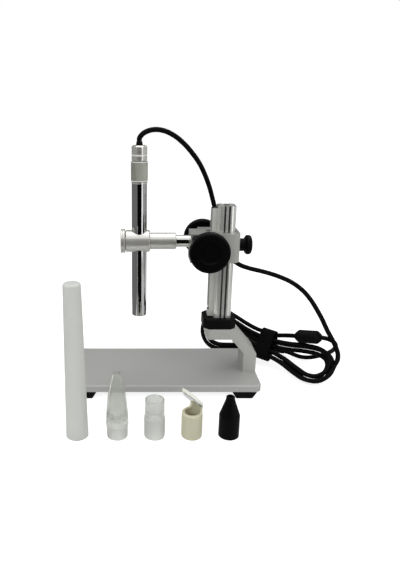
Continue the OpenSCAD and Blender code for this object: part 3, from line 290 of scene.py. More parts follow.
def length_of(path):
    """Length of a line of points."""
    return float(np.linalg.norm(np.diff(path, axis=0), axis=1).sum())


steps_per_span = 5
free_line = smooth_curve(free_route, steps_per_span)
tail_line = smooth_curve(tail_route, steps_per_span)
print("free stretch", round(length_of(free_line), 3), "m, tail", round(length_of(tail_line), 3), "m")

# %% [markdown]
# ## The hank
# Most of the cable is folded in a flat figure with two round lobes and a waist, held by a strap. Its
# loops lie side by side in two layers. A hank could be drawn by hand, but then its loops would touch or
# drift apart, so it is worked out: each loop is a step smaller than the one outside it, and half of the
# loops lie one layer up.

# %% The hank's line
hank_left = np.array((56, 88.6, 18.8))
hank_right = np.array((129.6, 28, 13.9))
hank_bow = 3.4
tilt_left, tilt_right = 68, 42
lobe_left, lobe_right, waist = 18, 17.5, 9.8
loop_step, waist_step, layer_step = cord_d + 0.55, cord_d + 0.7, cord_d + 0.55
cap_rings, run_rings = 5, 7
hank_steps, hank_sides = 4, 12
loop_rings = 2 * (cap_rings + run_rings)
hank_first = 2
hank_last = 3 * loop_rings + 2 * cap_rings + run_rings
climb_from = loop_rings + 2 * cap_rings + run_rings
up = np.array((0, 0, 1.0))


def unit(v):
    """The direction of a vector, one long."""
    return v / np.linalg.norm(v)


def mix(a, b, s):
    """a at 0, b at 1, and between them in proportion."""
    return a + (b - a) * s


def ease(x):
    """0 up to 0, 1 from 1 on, and a smooth rise between."""
    c = min(max(x, 0), 1)
    return c * c * (3 - 2 * c)


hank_way = unit((hank_right - hank_left) * (1, 1, 0))


def hank_axis(s):
    """The hank's middle line, which bows to the rear."""
    return mix(hank_left, hank_right, s) + hank_bow * 4 * s * (1 - s) * np.cross(up, hank_way)


def hank_frame(s):
    """Directions along the hank, across its flat side, and out of it."""
    along = unit(hank_axis(s + 0.01) - hank_axis(s - 0.01))
    tilt = math.radians(mix(tilt_left, tilt_right, s))
    across = unit(np.cross(up, along)) * math.cos(tilt) + up * math.sin(tilt)
    return along, across, np.cross(along, across)


def hank_place(s, u, v, n):
    """A point of the hank from its distance along, across and out of the middle line at s."""
    along, across, out = hank_frame(s)
    return hank_axis(s) + u * along + v * across + n * out


def half_width(s):
    """Half of the outermost loop's width, widest at the lobes and least at the waist."""
    lobe = lobe_left if s < 0.5 else lobe_right
    flat = 0.5 / run_rings
    return mix(waist, lobe, ease((abs(s - 0.5) - flat) / (0.5 - flat)))


def hank_point(p):
    """Point number p of the hank, counted round the loops."""
    q = p % loop_rings
    n = layer_step * (0.5 - ease((p - climb_from) / run_rings))
    inset = min(p - hank_first, hank_last - p) / loop_rings
    left, upper = cap_rings + run_rings, 2 * cap_rings + run_rings
    if q < cap_rings or left <= q < upper:
        right_end = q < cap_rings
        turn = math.radians(90 - 180 * q / cap_rings if right_end else -90 - 180 * (q - left) / cap_rings)
        r = (lobe_right if right_end else lobe_left) - inset * loop_step
        return hank_place(1 if right_end else 0, r * math.cos(turn), r * math.sin(turn), n)
    lower_run = q < left
    s = 1 - (q - cap_rings) / run_rings if lower_run else (q - upper) / run_rings
    half = half_width(s) - inset * mix(waist_step, loop_step, ease(abs(s - 0.5) / 0.4))
    return hank_place(s, 0, -half if lower_run else half, n)


hank_line = smooth_curve([hank_point(p) for p in range(hank_first, hank_last + 1)], hank_steps)
print("hank", round(length_of(hank_line), 3), "m of cable")

# %% [markdown]
# ## Tubes for the cable
# A Blender curve with a bevel would draw the cable too, but here each stretch is a mesh. Rings of points
# are carried along the curve and turned as little as possible from one to the next, which keeps the tube
# from twisting.

# %% Tube builder
def new_piece(name, build, smooth=True):
    """An object whose mesh is made by build(bm)."""
    mesh = bpy.data.meshes.new(name)
    bm = bmesh.new()
    build(bm)
    bmesh.ops.recalc_face_normals(bm, faces=bm.faces)
    for face in bm.faces:
        face.smooth = smooth
    bm.to_mesh(mesh)
    bm.free()
    piece = bpy.data.objects.new(name, mesh)
    bpy.context.collection.objects.link(piece)
    return piece


def bridge_rings(bm, rings, closed=False):
    """Quads between neighbouring rings of the same count, and caps on the two ends of an open row."""
    pairs = list(zip(rings, rings[1:] + rings[:1])) if closed else list(zip(rings, rings[1:]))
    for a, b in pairs:
        count = len(a)
        for k in range(count):
            bm.faces.new((a[k], a[(k + 1) % count], b[(k + 1) % count], b[k]))
    if not closed:
        bm.faces.new(list(reversed(rings[0])))
        bm.faces.new(rings[-1])


def tube(name, path, diameter, sides=14):
    """A round tube along a path, with closed ends."""
    way = np.gradient(path, axis=0)
    way /= np.linalg.norm(way, axis=1)[:, None]
    turns = np.arange(sides) * 2 * math.pi / sides

    def build(bm):
        side = unit(np.cross(way[0], (0.3, 0.9, 0.2)))
        rings = []
        for centre, t in zip(path, way):
            side = unit(side - t * (side @ t))
            other = np.cross(t, side)
            ring = [centre + diameter / 2 * (math.cos(a) * side + math.sin(a) * other) for a in turns]
            rings.append([bm.verts.new(co) for co in ring])
        bridge_rings(bm, rings)

    return new_piece(name, build)


# %% [markdown]
# ## The free stretch
# The free stretch crosses three joints: the pen slides in its clamp, the arm tilts, and the carriage runs
# up and down. The stretch is three pieces that meet end to end.

# %% Free stretch in three pieces
def free_piece(name, first, last):
    """The stretch between two points of the route."""
    path = free_line[first * steps_per_span:last * steps_per_span + 1]
    piece = tube(name, path, cord_d * MM)
    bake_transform(piece)
    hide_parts("free_cable")
    return piece


over_arc = free_piece("cable_over_arc", 0, 7)
down_run = free_piece("cable_down_run", 7, 13)
low_arc = free_piece("cable_low_arc", 13, 33)
cable_pieces = [over_arc, down_run, low_arc]
print("free stretch:", [len(piece.data.polygons) for piece in cable_pieces], "faces")

# %% [markdown]
# ## Strap, hank and tail
# The strap is a flat woven band, so it is swept round the waist with a flat section whose edges are
# rounded. The hank and the tail lie still beside the stand, and ride on it. The bead and the plug are CAD
# pieces that belong to the tail.

# %% Strap, hank and tail
strap_w, strap_t, strap_room, strap_rim = 13, 1.2, 0.45, 0.25


def strap_loop(count=24):
    """Points and outward directions round the waist, in millimetres across and out of the hank."""
    low, high = -(waist + cord_d / 2 + strap_room), waist + cord_d + strap_room
    half = layer_step / 2 + cord_d / 2 + strap_room
    loop = []
    for centre, start in ((high - half, -90), (low + half, 90)):
        for k in range(count + 1):
            a = math.radians(start + 180 * k / count)
            loop.append(((centre + half * math.cos(a), half * math.sin(a)), (math.cos(a), math.sin(a))))
    return loop


def build_strap(bm):
    """The band's section, carried round the loop."""
    edge, rim = strap_w / 2, strap_rim
    section = [(-edge, rim), (rim - edge, 0), (edge - rim, 0), (edge, rim), (edge, strap_t - rim),
               (edge - rim, strap_t), (rim - edge, strap_t), (-edge, strap_t - rim)]
    rings = []
    for (v, n), (dv, dn) in strap_loop():
        ring = [hank_place(0.5, u, v + h * dv, n + h * dn) * MM for u, h in section]
        rings.append([bm.verts.new(co) for co in ring])
    bridge_rings(bm, rings, closed=True)


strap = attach(new_piece("strap", build_strap, smooth=False), "stand")
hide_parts("cable_strap")
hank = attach(tube("hank", hank_line, cord_d * MM, hank_sides), "stand")
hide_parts("cable_hank")
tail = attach(tube("tail", tail_line, cord_d * MM), "stand")
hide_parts("cable_tail")
cable_pieces += [hank, tail]
print("cable in all", round(sum(length_of(p) for p in (free_line, hank_line, tail_line)), 2), "m")

# %% [markdown]
# ## Knurled focus ring
# The ring that is turned to focus has a fine diamond knurl, pressed by two crossing wheels. A bump
# texture would leave the outline smooth, so the knurl is cut in the mesh: two families of slanting V
# grooves, and where they cross the deeper one counts.

# %% Knurled focus ring
ring_low, ring_high = (np.array(corner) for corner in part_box("focus_ring"))
ring_middle = (ring_low + ring_high) / 2
ring_r = (ring_high[0] - ring_low[0]) / 2
ring_bore = 3.55 * MM
ring_plain, ring_edge = 0.5 * MM, 0.45 * MM
knurls, knurl_points, wall_rows = 52, 5, 72
knurl_depth = 0.32 * MM
knurl_pitch = 1.15 * MM


def knurl(turn, z):
    """Depth of the knurl at an angle and a height, from 0 on a peak to 1 in a groove."""
    count = knurls * turn / (2 * math.pi)
    waves = [(count + z / knurl_pitch) % 1, (count - z / knurl_pitch) % 1]
    return max(abs(2 * w - 1) for w in waves)


def build_ring(bm):
    """Rows of points from the bore at the bottom, over the knurled wall, to the bore at the top."""
    z0, z1 = ring_low[2], ring_high[2]
    wall = np.linspace(z0 + ring_plain, z1 - ring_plain, wall_rows)
    rows = [(ring_bore, z0, 0), (ring_r - ring_edge, z0, 0)] + [(ring_r, z, 1) for z in wall]
    rows += [(ring_r - ring_edge, z1, 0), (ring_bore, z1, 0)]
    count = knurls * knurl_points
    turns = np.arange(count) * 2 * math.pi / count
    rings = []
    for r, z, cut in rows:
        ring = []
        for a in turns:
            d = r - cut * knurl_depth * knurl(a, z)
            x, y = ring_middle[0] + d * math.cos(a), ring_middle[1] + d * math.sin(a)
            ring.append(bm.verts.new((x, y, z)))
        rings.append(ring)
    bridge_rings(bm, rings, closed=True)


knurled_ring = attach(new_piece("knurled_ring", build_ring, smooth=False), "focus_wheel")
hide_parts("focus_ring")
print("knurled ring:", len(knurled_ring.data.polygons), "faces")

# %% [markdown]
# ## Bright bands
# The cap and the ring have narrow bands that are painted highlights, brighter than what lies beside
# them: one in the cap's groove, and one at each end of the knurl. Each is a plain ring with a
# rectangular section.

# %% Bright bands
band_faces, band_t = 72, 0.5 * MM
cap_band_h, ring_band_h = 0.8 * MM, 0.6 * MM
cap_band_sunk, ring_band_sunk, ring_end = 0.04 * MM, 0.03 * MM, 0.05 * MM
groove_place = 0.35
cap_low, cap_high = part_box("end_cap")
cap_r = (cap_high.x - cap_low.x) / 2
cap_band_z = mix(cap_low.z, cap_high.z, groove_place) - cap_band_h / 4


def highlight_band(name, body, outer, low, tall):
    """A ring round the microscope's axis."""
    def build(bm):
        inner, high = outer - band_t, low + tall
        section = ((inner, low), (outer, low), (outer, high), (inner, high))
        rings = [[bm.verts.new((ring_middle[0] + r * math.cos(a), ring_middle[1] + r * math.sin(a), z))
                  for r, z in section] for a in np.arange(band_faces) * 2 * math.pi / band_faces]
        bridge_rings(bm, rings, closed=True)

    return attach(new_piece(name, build, smooth=False), body)


# These rings carry a painted highlight.
bands = [highlight_band("cap_band", "microscope", cap_r - cap_band_sunk, cap_band_z, cap_band_h)]
for name, z in (("ring_band_low", ring_low[2] + ring_end),
                ("ring_band_high", ring_high[2] - ring_end - ring_band_h)):
    bands.append(highlight_band(name, "focus_wheel", ring_r - ring_band_sunk, z, ring_band_h))
print("bands:", [band.name for band in bands])

# %% [markdown]
# ## Ribs on the slip-on tips
# The moulded tips have fine upright ribs round their skirts, for grip. Each rib is a thin strip with a
# rounded back. The mirror tip's slanted lid has a ribbed band round its rim, in a paler tone that is a
# painted highlight for the light from above. The band follows the slant, so it is made as one closed strip
# whose height changes round the lid, with the ribs as small waves in its outer wall.

# %% Ribs on the tips
rib_count = 48
rib_w, rib_h = 0.46 * MM, 0.2 * MM
rib_sunk = 0.05 * MM
rib_end_rise = 0.4
rib_section = [(-0.5, -rib_sunk), (-0.34, rib_h * 0.7), (0, rib_h), (0.34, rib_h * 0.7), (0.5, -rib_sunk)]


def add_rib(bm, centre, r, turn, low, high):
    """One rib on a round wall. Its section counts rib widths across and metres out."""
    rings = []
    for z, rise in ((low, rib_end_rise), (low + rib_w, 1), (high - rib_w, 1), (high, rib_end_rise)):
        ring = []
        for across, out in rib_section:
            a = turn + across * rib_w / r
            d = r + (out * rise if out > 0 else out)
            ring.append(bm.verts.new((centre[0] + d * math.cos(a), centre[1] + d * math.sin(a), z)))
        rings.append(ring)
    bridge_rings(bm, rings)


skirt_r = 7.2 * MM
rib_from = 0.6 * MM
rib_tops = {"cone": 8.6 * MM, "cup": 14.9 * MM, "mirror": 17.6 * MM}


def middle_of(node):
    """The middle of a node's box."""
    low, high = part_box(node)
    return (low + high) / 2


def skirt_ribs(tip, rib_to):
    """Ribs round a tip's skirt, up to a height."""
    def build(bm):
        for k in range(rib_count):
            add_rib(bm, middle_of(f"{tip}_tip"), skirt_r, 2 * math.pi * k / rib_count, rib_from, rib_to)

    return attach(new_piece(f"{tip}_ribs", build), f"{tip}_tip_loose")


mirror_turn, lid_lean = math.radians(38), math.radians(47)
lid_top, lid_t, lid_margin = 39 * MM, 2 * MM, 0.1 * MM
lid_drop = lid_t / math.cos(lid_lean)
lid_z = lid_top - skirt_r * math.tan(lid_lean)
rim_points = 6


def build_lid_rim(bm):
    """A ribbed band round the slanted lid's wall."""
    centre, inner = middle_of("mirror_tip"), skirt_r - rib_sunk
    count = rib_count * rim_points
    rings = []
    for turn in np.arange(count) * 2 * math.pi / count:
        top = lid_z - skirt_r * math.cos(turn - mirror_turn) * math.tan(lid_lean)
        outer = skirt_r + rib_h * (0.5 + 0.5 * abs(math.cos(rib_count * turn / 2)))
        low, high = top - lid_drop + lid_margin, top - lid_margin
        ring = []
        for r, z in ((inner, low), (outer, low), (outer, high), (inner, high)):
            ring.append(bm.verts.new((centre.x + r * math.cos(turn), centre.y + r * math.sin(turn), z)))
        rings.append(ring)
    bridge_rings(bm, rings, closed=True)


ribs = {tip: skirt_ribs(tip, top) for tip, top in rib_tops.items()}
lid_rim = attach(new_piece("lid_rim", build_lid_rim, smooth=False), "mirror_tip_loose")
print("ribs:", [len(piece.data.polygons) for piece in (*ribs.values(), lid_rim)], "faces")

# %% [markdown]
# ## Shared surface effects
# Three effects turn up again and again, so each is a node group that is built once. Grain is a noise that
# can be stretched into brush or lathe lines. Edges finds the edges with a bevel and rounds them in the
# light. Dust settles where the surface looks up.

# %% Node groups
def new_group(name, inputs, outputs):
    """A group with named sockets, and its input and output nodes."""
    group = bpy.data.node_groups.new(name, "ShaderNodeTree")
    for label, kind, value in inputs:
        socket = group.interface.new_socket(name=label, in_out="INPUT", socket_type=kind)
        socket.default_value = value
    for label, kind in outputs:
        group.interface.new_socket(name=label, in_out="OUTPUT", socket_type=kind)
    return group, group.nodes.new("NodeGroupInput"), group.nodes.new("NodeGroupOutput")


def grain_group():
    """Noise over the object, stretched along its axes."""
    group, given, out = new_group("grain", [
        ("Scale", "NodeSocketFloat", 500.0), ("Stretch", "NodeSocketVector", (1, 1, 1)),
        ("Low", "NodeSocketFloat", 0.3), ("High", "NodeSocketFloat", 0.5)],
        [("Value", "NodeSocketFloat"), ("Height", "NodeSocketFloat")])
    place = add_node(group, "ShaderNodeTexCoord")
    stretched = add_node(group, "ShaderNodeVectorMath", operation="MULTIPLY")
    noise = add_node(group, "ShaderNodeTexNoise", {"Detail": 6.0, "Roughness": 0.6})
    spread = add_node(group, "ShaderNodeMapRange", {"From Min": 0.32, "From Max": 0.68})
    group.links.new(place.outputs["Object"], stretched.inputs[0])
    group.links.new(given.outputs["Stretch"], stretched.inputs[1])
    group.links.new(stretched.outputs[0], noise.inputs["Vector"])
    group.links.new(given.outputs["Scale"], noise.inputs["Scale"])
    group.links.new(noise.outputs["Fac"], spread.inputs["Value"])
    group.links.new(given.outputs["Low"], spread.inputs["To Min"])
    group.links.new(given.outputs["High"], spread.inputs["To Max"])
    group.links.new(spread.outputs[0], out.inputs["Value"])
    group.links.new(noise.outputs["Fac"], out.inputs["Height"])
    return group


def edges_group():
    """A mask of the edges and a normal that rounds them."""
    group, given, out = new_group("edges", [
        ("Radius", "NodeSocketFloat", 0.0004)],
        [("Mask", "NodeSocketFloat"), ("Normal", "NodeSocketVector")])
    bevel = add_node(group, "ShaderNodeBevel", samples=4)
    flat = add_node(group, "ShaderNodeNewGeometry")
    same = add_node(group, "ShaderNodeVectorMath", operation="DOT_PRODUCT")
    mask = add_node(group, "ShaderNodeMapRange", {"From Min": 0.99, "From Max": 0.8})
    group.links.new(given.outputs["Radius"], bevel.inputs["Radius"])
    group.links.new(bevel.outputs[0], same.inputs[0])
    group.links.new(flat.outputs["Normal"], same.inputs[1])
    group.links.new(same.outputs["Value"], mask.inputs["Value"])
    group.links.new(mask.outputs[0], out.inputs["Mask"])
    group.links.new(bevel.outputs[0], out.inputs["Normal"])
    return group


def dust_group():
    """A patchy mask on what looks up."""
    group, given, out = new_group("dust", [
        ("Amount", "NodeSocketFloat", 0.1), ("Scale", "NodeSocketFloat", 220.0)],
        [("Mask", "NodeSocketFloat")])
    facing = add_node(group, "ShaderNodeNewGeometry")
    parts = add_node(group, "ShaderNodeSeparateXYZ")
    upward = add_node(group, "ShaderNodeMapRange", {"From Min": 0.2, "From Max": 0.9})
    place = add_node(group, "ShaderNodeTexCoord")
    noise = add_node(group, "ShaderNodeTexNoise", {"Detail": 8.0, "Roughness": 0.7})
    patches = add_node(group, "ShaderNodeMapRange", {"From Min": 0.4, "From Max": 0.75})
    both = add_node(group, "ShaderNodeMath", operation="MULTIPLY")
    scaled = add_node(group, "ShaderNodeMath", operation="MULTIPLY")
    group.links.new(facing.outputs["Normal"], parts.inputs[0])
    group.links.new(parts.outputs["Z"], upward.inputs["Value"])
    group.links.new(place.outputs["Object"], noise.inputs["Vector"])
    group.links.new(given.outputs["Scale"], noise.inputs["Scale"])
    group.links.new(noise.outputs["Fac"], patches.inputs["Value"])
    group.links.new(upward.outputs[0], both.inputs[0])
    group.links.new(patches.outputs[0], both.inputs[1])
    group.links.new(both.outputs[0], scaled.inputs[0])
    group.links.new(given.outputs["Amount"], scaled.inputs[1])
    group.links.new(scaled.outputs[0], out.inputs["Mask"])
    return group


groups = {"grain": grain_group(), "edges": edges_group(), "dust": dust_group()}
print("groups:", sorted(groups))

# %% [markdown]
# ## One way to lay a finish
# Most finishes on this object are one recipe with other numbers: two close tones mixed by the grain, a
# roughness that follows the grain, a little bump, edges worn to a lighter tone, and some dust. The recipe
# is one function, and what is the same all over a surface is set on the shader's own sockets.

# %% The recipe
def place_group(tree, name, **values):
    """A group in a material, with its own values."""
    made = add_node(tree, "ShaderNodeGroup", node_tree=groups[name])
    for label, value in values.items():
        made.inputs[label].default_value = value
    return made


def mix_colour(tree, factor, a, b):
    """A colour between a and b, each a written colour or a socket."""
    made = add_node(tree, "ShaderNodeMix", data_type="RGBA")
    tree.links.new(factor, made.inputs[0])
    for value, socket in ((a, made.inputs[6]), (b, made.inputs[7])):
        if isinstance(value, str):
            socket.default_value = linear(value)
        else:
            tree.links.new(value, socket)
    return made.outputs[2]


dust_tone = "8c8a86"
grain_depth = 0.2 * MM


def finish(name, tones, rough, metallic=0.0, scale=700.0, stretch=(1, 1, 1), bump=0.05, radius=0.3 * MM,
           worn=None, dust=0.0, **constants):
    """Two tones and a roughness that follow the grain, with rounded and worn edges and dust."""
    made, tree, output = material(name)
    shader = add_node(tree, "ShaderNodeBsdfPrincipled", {"Metallic": metallic, **constants})
    grain = place_group(tree, "grain", Scale=scale, Stretch=stretch, Low=rough[0], High=rough[1])
    edges = place_group(tree, "edges", Radius=radius)
    colour = mix_colour(tree, grain.outputs["Height"], *tones)
    if worn:
        colour = mix_colour(tree, edges.outputs["Mask"], colour, worn)
    if dust:
        settled = place_group(tree, "dust", Amount=dust)
        colour = mix_colour(tree, settled.outputs["Mask"], colour, dust_tone)
    relief = add_node(tree, "ShaderNodeBump", {"Strength": bump, "Distance": grain_depth})
    tree.links.new(grain.outputs["Height"], relief.inputs["Height"])
    tree.links.new(edges.outputs["Normal"], relief.inputs["Normal"])
    tree.links.new(colour, shader.inputs["Base Color"])
    tree.links.new(grain.outputs["Value"], shader.inputs["Roughness"])
    tree.links.new(relief.outputs[0], shader.inputs["Normal"])
    tree.links.new(shader.outputs[0], output.inputs["Surface"])
    return made


# %% [markdown]
# ## Metals
# The barrel is mirror chrome with the faint haze of wiping. The clamp, sleeve and cap are turned
# aluminium, so their grain is stretched into fine rings round each piece's own axis. The base plate is
# brushed along its width, and the bracket and carriage have a finer, duller skin. Each finish is written
# as its recipe's values, and one loop lays them all.

# %% Metals
rings_round_x, rings_round_z = (60, 1, 1), (1, 1, 60)
metal_recipes = {
    "barrel_chrome": dict(tones=("d2d2d2", "dcdcdb"), rough=(0.03, 0.06), metallic=1.0, scale=90, bump=0.0),
    "polished_rod": dict(tones=("d6d5d2", "e0dfdc"), rough=(0.07, 0.13), metallic=1.0, scale=40,
                         stretch=rings_round_x, bump=0.0),
    "turned_across": dict(tones=("cfcec9", "d9d8d3"), rough=(0.31, 0.35), metallic=0.76, scale=60,
                          stretch=rings_round_x, bump=0.0, worn="f0f0ec"),
    "turned_upright": dict(tones=("e2e1dc", "e9e8e3"), rough=(0.14, 0.18), metallic=0.8, scale=60,
                           stretch=rings_round_z, bump=0.0, worn="f0f0ec"),
    "knurled_aluminium": dict(tones=("a4a79c", "b6b9ad"), rough=(0.28, 0.38), metallic=0.75, scale=900,
                              bump=0.02, worn="c8cbbf"),
    "carriage_grey": dict(tones=("bebeba", "c6c6c2"), rough=(0.3, 0.36), metallic=0.74, scale=1500,
                          bump=0.005, worn="dcdcd8"),
    "bracket_silver": dict(tones=("abaca7", "b6b6b2"), rough=(0.45, 0.58), metallic=0.4, scale=1600,
                           bump=0.04, worn="cfcfcb"),
    "base_silver": dict(tones=("a4a4a2", "afafad"), rough=(0.46, 0.56), metallic=0.3, scale=50,
                        stretch=(2, 60, 20), bump=0.02, radius=0.6 * MM, worn="c8c8c5"),
    # Painted highlight: a near-white tone for the bands at the cap's groove and the knurl's ends.
    "highlight_band": dict(tones=("ededea", "f4f4f1"), rough=(0.28, 0.36), metallic=0.3, scale=60,
                        stretch=rings_round_z, bump=0.0),
    "screw_steel": dict(tones=("a4a4a2", "b6b6b4"), rough=(0.25, 0.4), metallic=1.0, scale=800),
    "shaft_steel": dict(tones=("b0b0ae", "c2c2c0"), rough=(0.2, 0.32), metallic=1.0, scale=60,
                        stretch=(2, 60, 2)),
    "set_screw_black": dict(tones=("222222", "303030"), rough=(0.35, 0.5), metallic=0.8, scale=900,
                            worn="5a5a58"),
    "brass": dict(tones=("b08c4c", "c8a468"), rough=(0.2, 0.34), metallic=1.0, scale=60,
                  stretch=(20, 20, 60)),
    "plug_metal": dict(tones=("c8c8c6", "d6d6d4"), rough=(0.12, 0.22), metallic=1.0, scale=300,
                       worn="efefed"),
    "mirror_face": dict(tones=("e6ebeb", "eef2f2"), rough=(0.015, 0.04), metallic=1.0, scale=120, bump=0.0),
}
metals = {name: finish(name, **recipe) for name, recipe in metal_recipes.items()}
print(len(metals), "metal finishes")

# %% [markdown]
# ## Rack and fluted column with painted shade
# The gear rack gets painted shade between its teeth, and none on their tips. The column's flutes get
# painted shade on their walls and floors, while the lobes beside them stay light. Both are a light metal
# with a mask of painted shade: for the rack the mask is a depth behind the tips times a look at where the
# face points, and for the column it is the depth inside the flutes.

# %% Rack and fluted column with painted shade
def calc(tree, operation, *values):
    """One sum on sockets or plain numbers."""
    made = add_node(tree, "ShaderNodeMath", operation=operation)
    for i, value in enumerate(values):
        if isinstance(value, float):
            made.inputs[i].default_value = value
        else:
            tree.links.new(value, made.inputs[i])
    return made.outputs[0]


def ramp(tree, value, start, end):
    """0 at the start and 1 at the end."""
    made = add_node(tree, "ShaderNodeMapRange", {"From Min": start, "From Max": end})
    tree.links.new(value, made.inputs["Value"])
    return made.outputs[0]


shade_start_depth, shade_full_depth = 0.1 * MM, 0.3 * MM
flute_half, flute_edge = 2.55 * MM, 0.05 * MM
flute_shade_from, flute_shade_full = 0.5 * MM, 0.9 * MM


def rack_gap_shade(tree, at, facing):
    """Painted shade on the faces between the teeth."""
    tip_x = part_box("gear_rack")[0].x
    deep = ramp(tree, at["X"], tip_x + shade_start_depth, tip_x + shade_full_depth)
    return calc(tree, "MULTIPLY", deep, calc(tree, "SUBTRACT", 1.0, calc(tree, "ABSOLUTE", facing["Y"])))


def flute_shade(tree, at, facing):
    """Painted shade on the walls and floors of the flutes, but not on their ribs or the column's ends."""
    middle = middle_of("column")
    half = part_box("column")[1].x - middle.x
    out = []
    for i, axis in enumerate("XY"):
        off_middle = calc(tree, "SUBTRACT", at[axis], float(middle[i]))
        out.append(calc(tree, "ABSOLUTE", off_middle))
    deep = ramp(tree, calc(tree, "MAXIMUM", *out), half - flute_shade_from, half - flute_shade_full)
    within = ramp(tree, calc(tree, "MINIMUM", *out), flute_half + flute_edge, flute_half)
    upright_face = calc(tree, "SUBTRACT", 1.0, calc(tree, "ABSOLUTE", facing["Z"]))
    return calc(tree, "MULTIPLY", calc(tree, "MULTIPLY", deep, within), upright_face)


def shaded_metal(name, unshaded_tone, dark, metallic, rough, mask):
    """Light metal with painted shade where the mask says so."""
    made, tree, output = material(name)
    shader = add_node(tree, "ShaderNodeBsdfPrincipled", {"Metallic": metallic})
    at = add_node(tree, "ShaderNodeSeparateXYZ")
    facing = add_node(tree, "ShaderNodeSeparateXYZ")
    grain = place_group(tree, "grain", Scale=700.0, Low=rough[0], High=rough[1])
    tree.links.new(add_node(tree, "ShaderNodeTexCoord").outputs["Object"], at.inputs[0])
    tree.links.new(add_node(tree, "ShaderNodeNewGeometry").outputs["Normal"], facing.inputs[0])
    shaded_colour = mix_colour(tree, mask(tree, at.outputs, facing.outputs), unshaded_tone, dark)
    tree.links.new(shaded_colour, shader.inputs["Base Color"])
    tree.links.new(grain.outputs["Value"], shader.inputs["Roughness"])
    tree.links.new(shader.outputs[0], output.inputs["Surface"])
    return made


# Painted shade: near-black between the rack's teeth, on light metal.
metals["rack_metal"] = shaded_metal("rack_metal", "d0d0cb", "0c0c0b", 0.4, (0.3, 0.4), rack_gap_shade)
# Painted shade: dark grey inside the column's flutes.
metals["column_aluminium"] = shaded_metal("column_aluminium", "e2e2de", "72726f", 0.68, (0.13, 0.17),
                                       flute_shade)

# %% [markdown]
# ## Plastics and rubber
# The knobs, the lock screw and the bead are moulded black plastic with a soft gloss, the feet are matt
# rubber and the cable's sheath lies between. Black shows dust first, so these finishes carry a trace of
# it. The cover and the mirror tip are pale plastics that let some light into their skin.

# %% Plastics and rubber
dull = {"Specular IOR Level": 0.06}
milky = {"Subsurface Weight": 0.3, "Subsurface Radius": (1, 1, 1), "Subsurface Scale": 0.002}
plastic_recipes = {
    "knob_black": dict(tones=("030303", "060606"), rough=(0.34, 0.46), scale=1400, bump=0.03, worn="161616",
                       dust=0.01, **dull),
    "black_plastic": dict(tones=("070707", "0d0d0c"), rough=(0.45, 0.58), scale=1600, bump=0.06,
                          worn="1c1c1b", dust=0.02, **dull),
    "tip_black": dict(tones=("050505", "090909"), rough=(0.4, 0.52), scale=1500, bump=0.04, worn="161616",
                      dust=0.01, **dull),
    "bead_black": dict(tones=("060606", "0b0b0b"), rough=(0.34, 0.46), scale=1200, bump=0.04, worn="1b1b1b",
                       dust=0.01, **dull),
    "foot_rubber": dict(tones=("0a0a0a", "111111"), rough=(0.62, 0.8), scale=1800, bump=0.1, worn="1b1b1a",
                        dust=0.02, **dull),
    "cable_black": dict(tones=("030303", "070707"), rough=(0.46, 0.58), scale=900, bump=0.01, **dull),
    "cover_plate": dict(tones=("262625", "2e2e2d"), rough=(0.45, 0.56), scale=1500, bump=0.04,
                        worn="424240"),
    "inner_black": dict(tones=("101010", "181818"), rough=(0.6, 0.75), scale=1500, bump=0.08),
    "liner_plastic": dict(tones=("d0c9b8", "dcd6c6"), rough=(0.35, 0.5), scale=900),
    "plug_white": dict(tones=("dededb", "e8e8e5"), rough=(0.25, 0.35), scale=900),
    "cover_white": dict(tones=("bdbfba", "c5c7c2"), rough=(0.4, 0.5), scale=500, bump=0.02, worn="dadcd7",
                        **milky),
    "ivory_plastic": dict(tones=("c4c2a6", "cecbb1"), rough=(0.36, 0.48), scale=700, bump=0.03,
                          worn="e4e2cf", **milky),
    # Painted highlight: the lid's rim is a paler ivory for the light that falls on it from above.
    "rim_highlight_ivory": dict(tones=("e6e6dc", "efefe6"), rough=(0.36, 0.48), scale=700, bump=0.03, worn="f6f6f0"),
    "circuit_board": dict(tones=("14532b", "1d6b3a"), rough=(0.3, 0.45), scale=900),
    "led_lens": dict(tones=("efe6b8", "f6f0d0"), rough=(0.1, 0.2), scale=900),
    "sensor_chip": dict(tones=("1c1c28", "2a2a3c"), rough=(0.08, 0.16), scale=900, **{"Coat Weight": 0.6}),
}
plastics = {name: finish(name, **recipe) for name, recipe in plastic_recipes.items()}
print(len(plastics), "plastic and rubber finishes")

# %% [markdown]
# ## Clear pieces
# The cone and the cup are moulded in clear plastic that is slightly milky, and frosted where fingers hold
# them. One roughness can't do both, so it follows the height: both skirts scatter light, the cone's upper
# part is nearly clear, and the cup's stays a little hazy. The upper part is also given a greyer tone,
# painted shade for the darker things seen through its thin wall. The milkiness is the share of light that
# isn't let through. The window and the lenses are optical glass.

# %% Clear pieces
frost_fade = 4 * MM


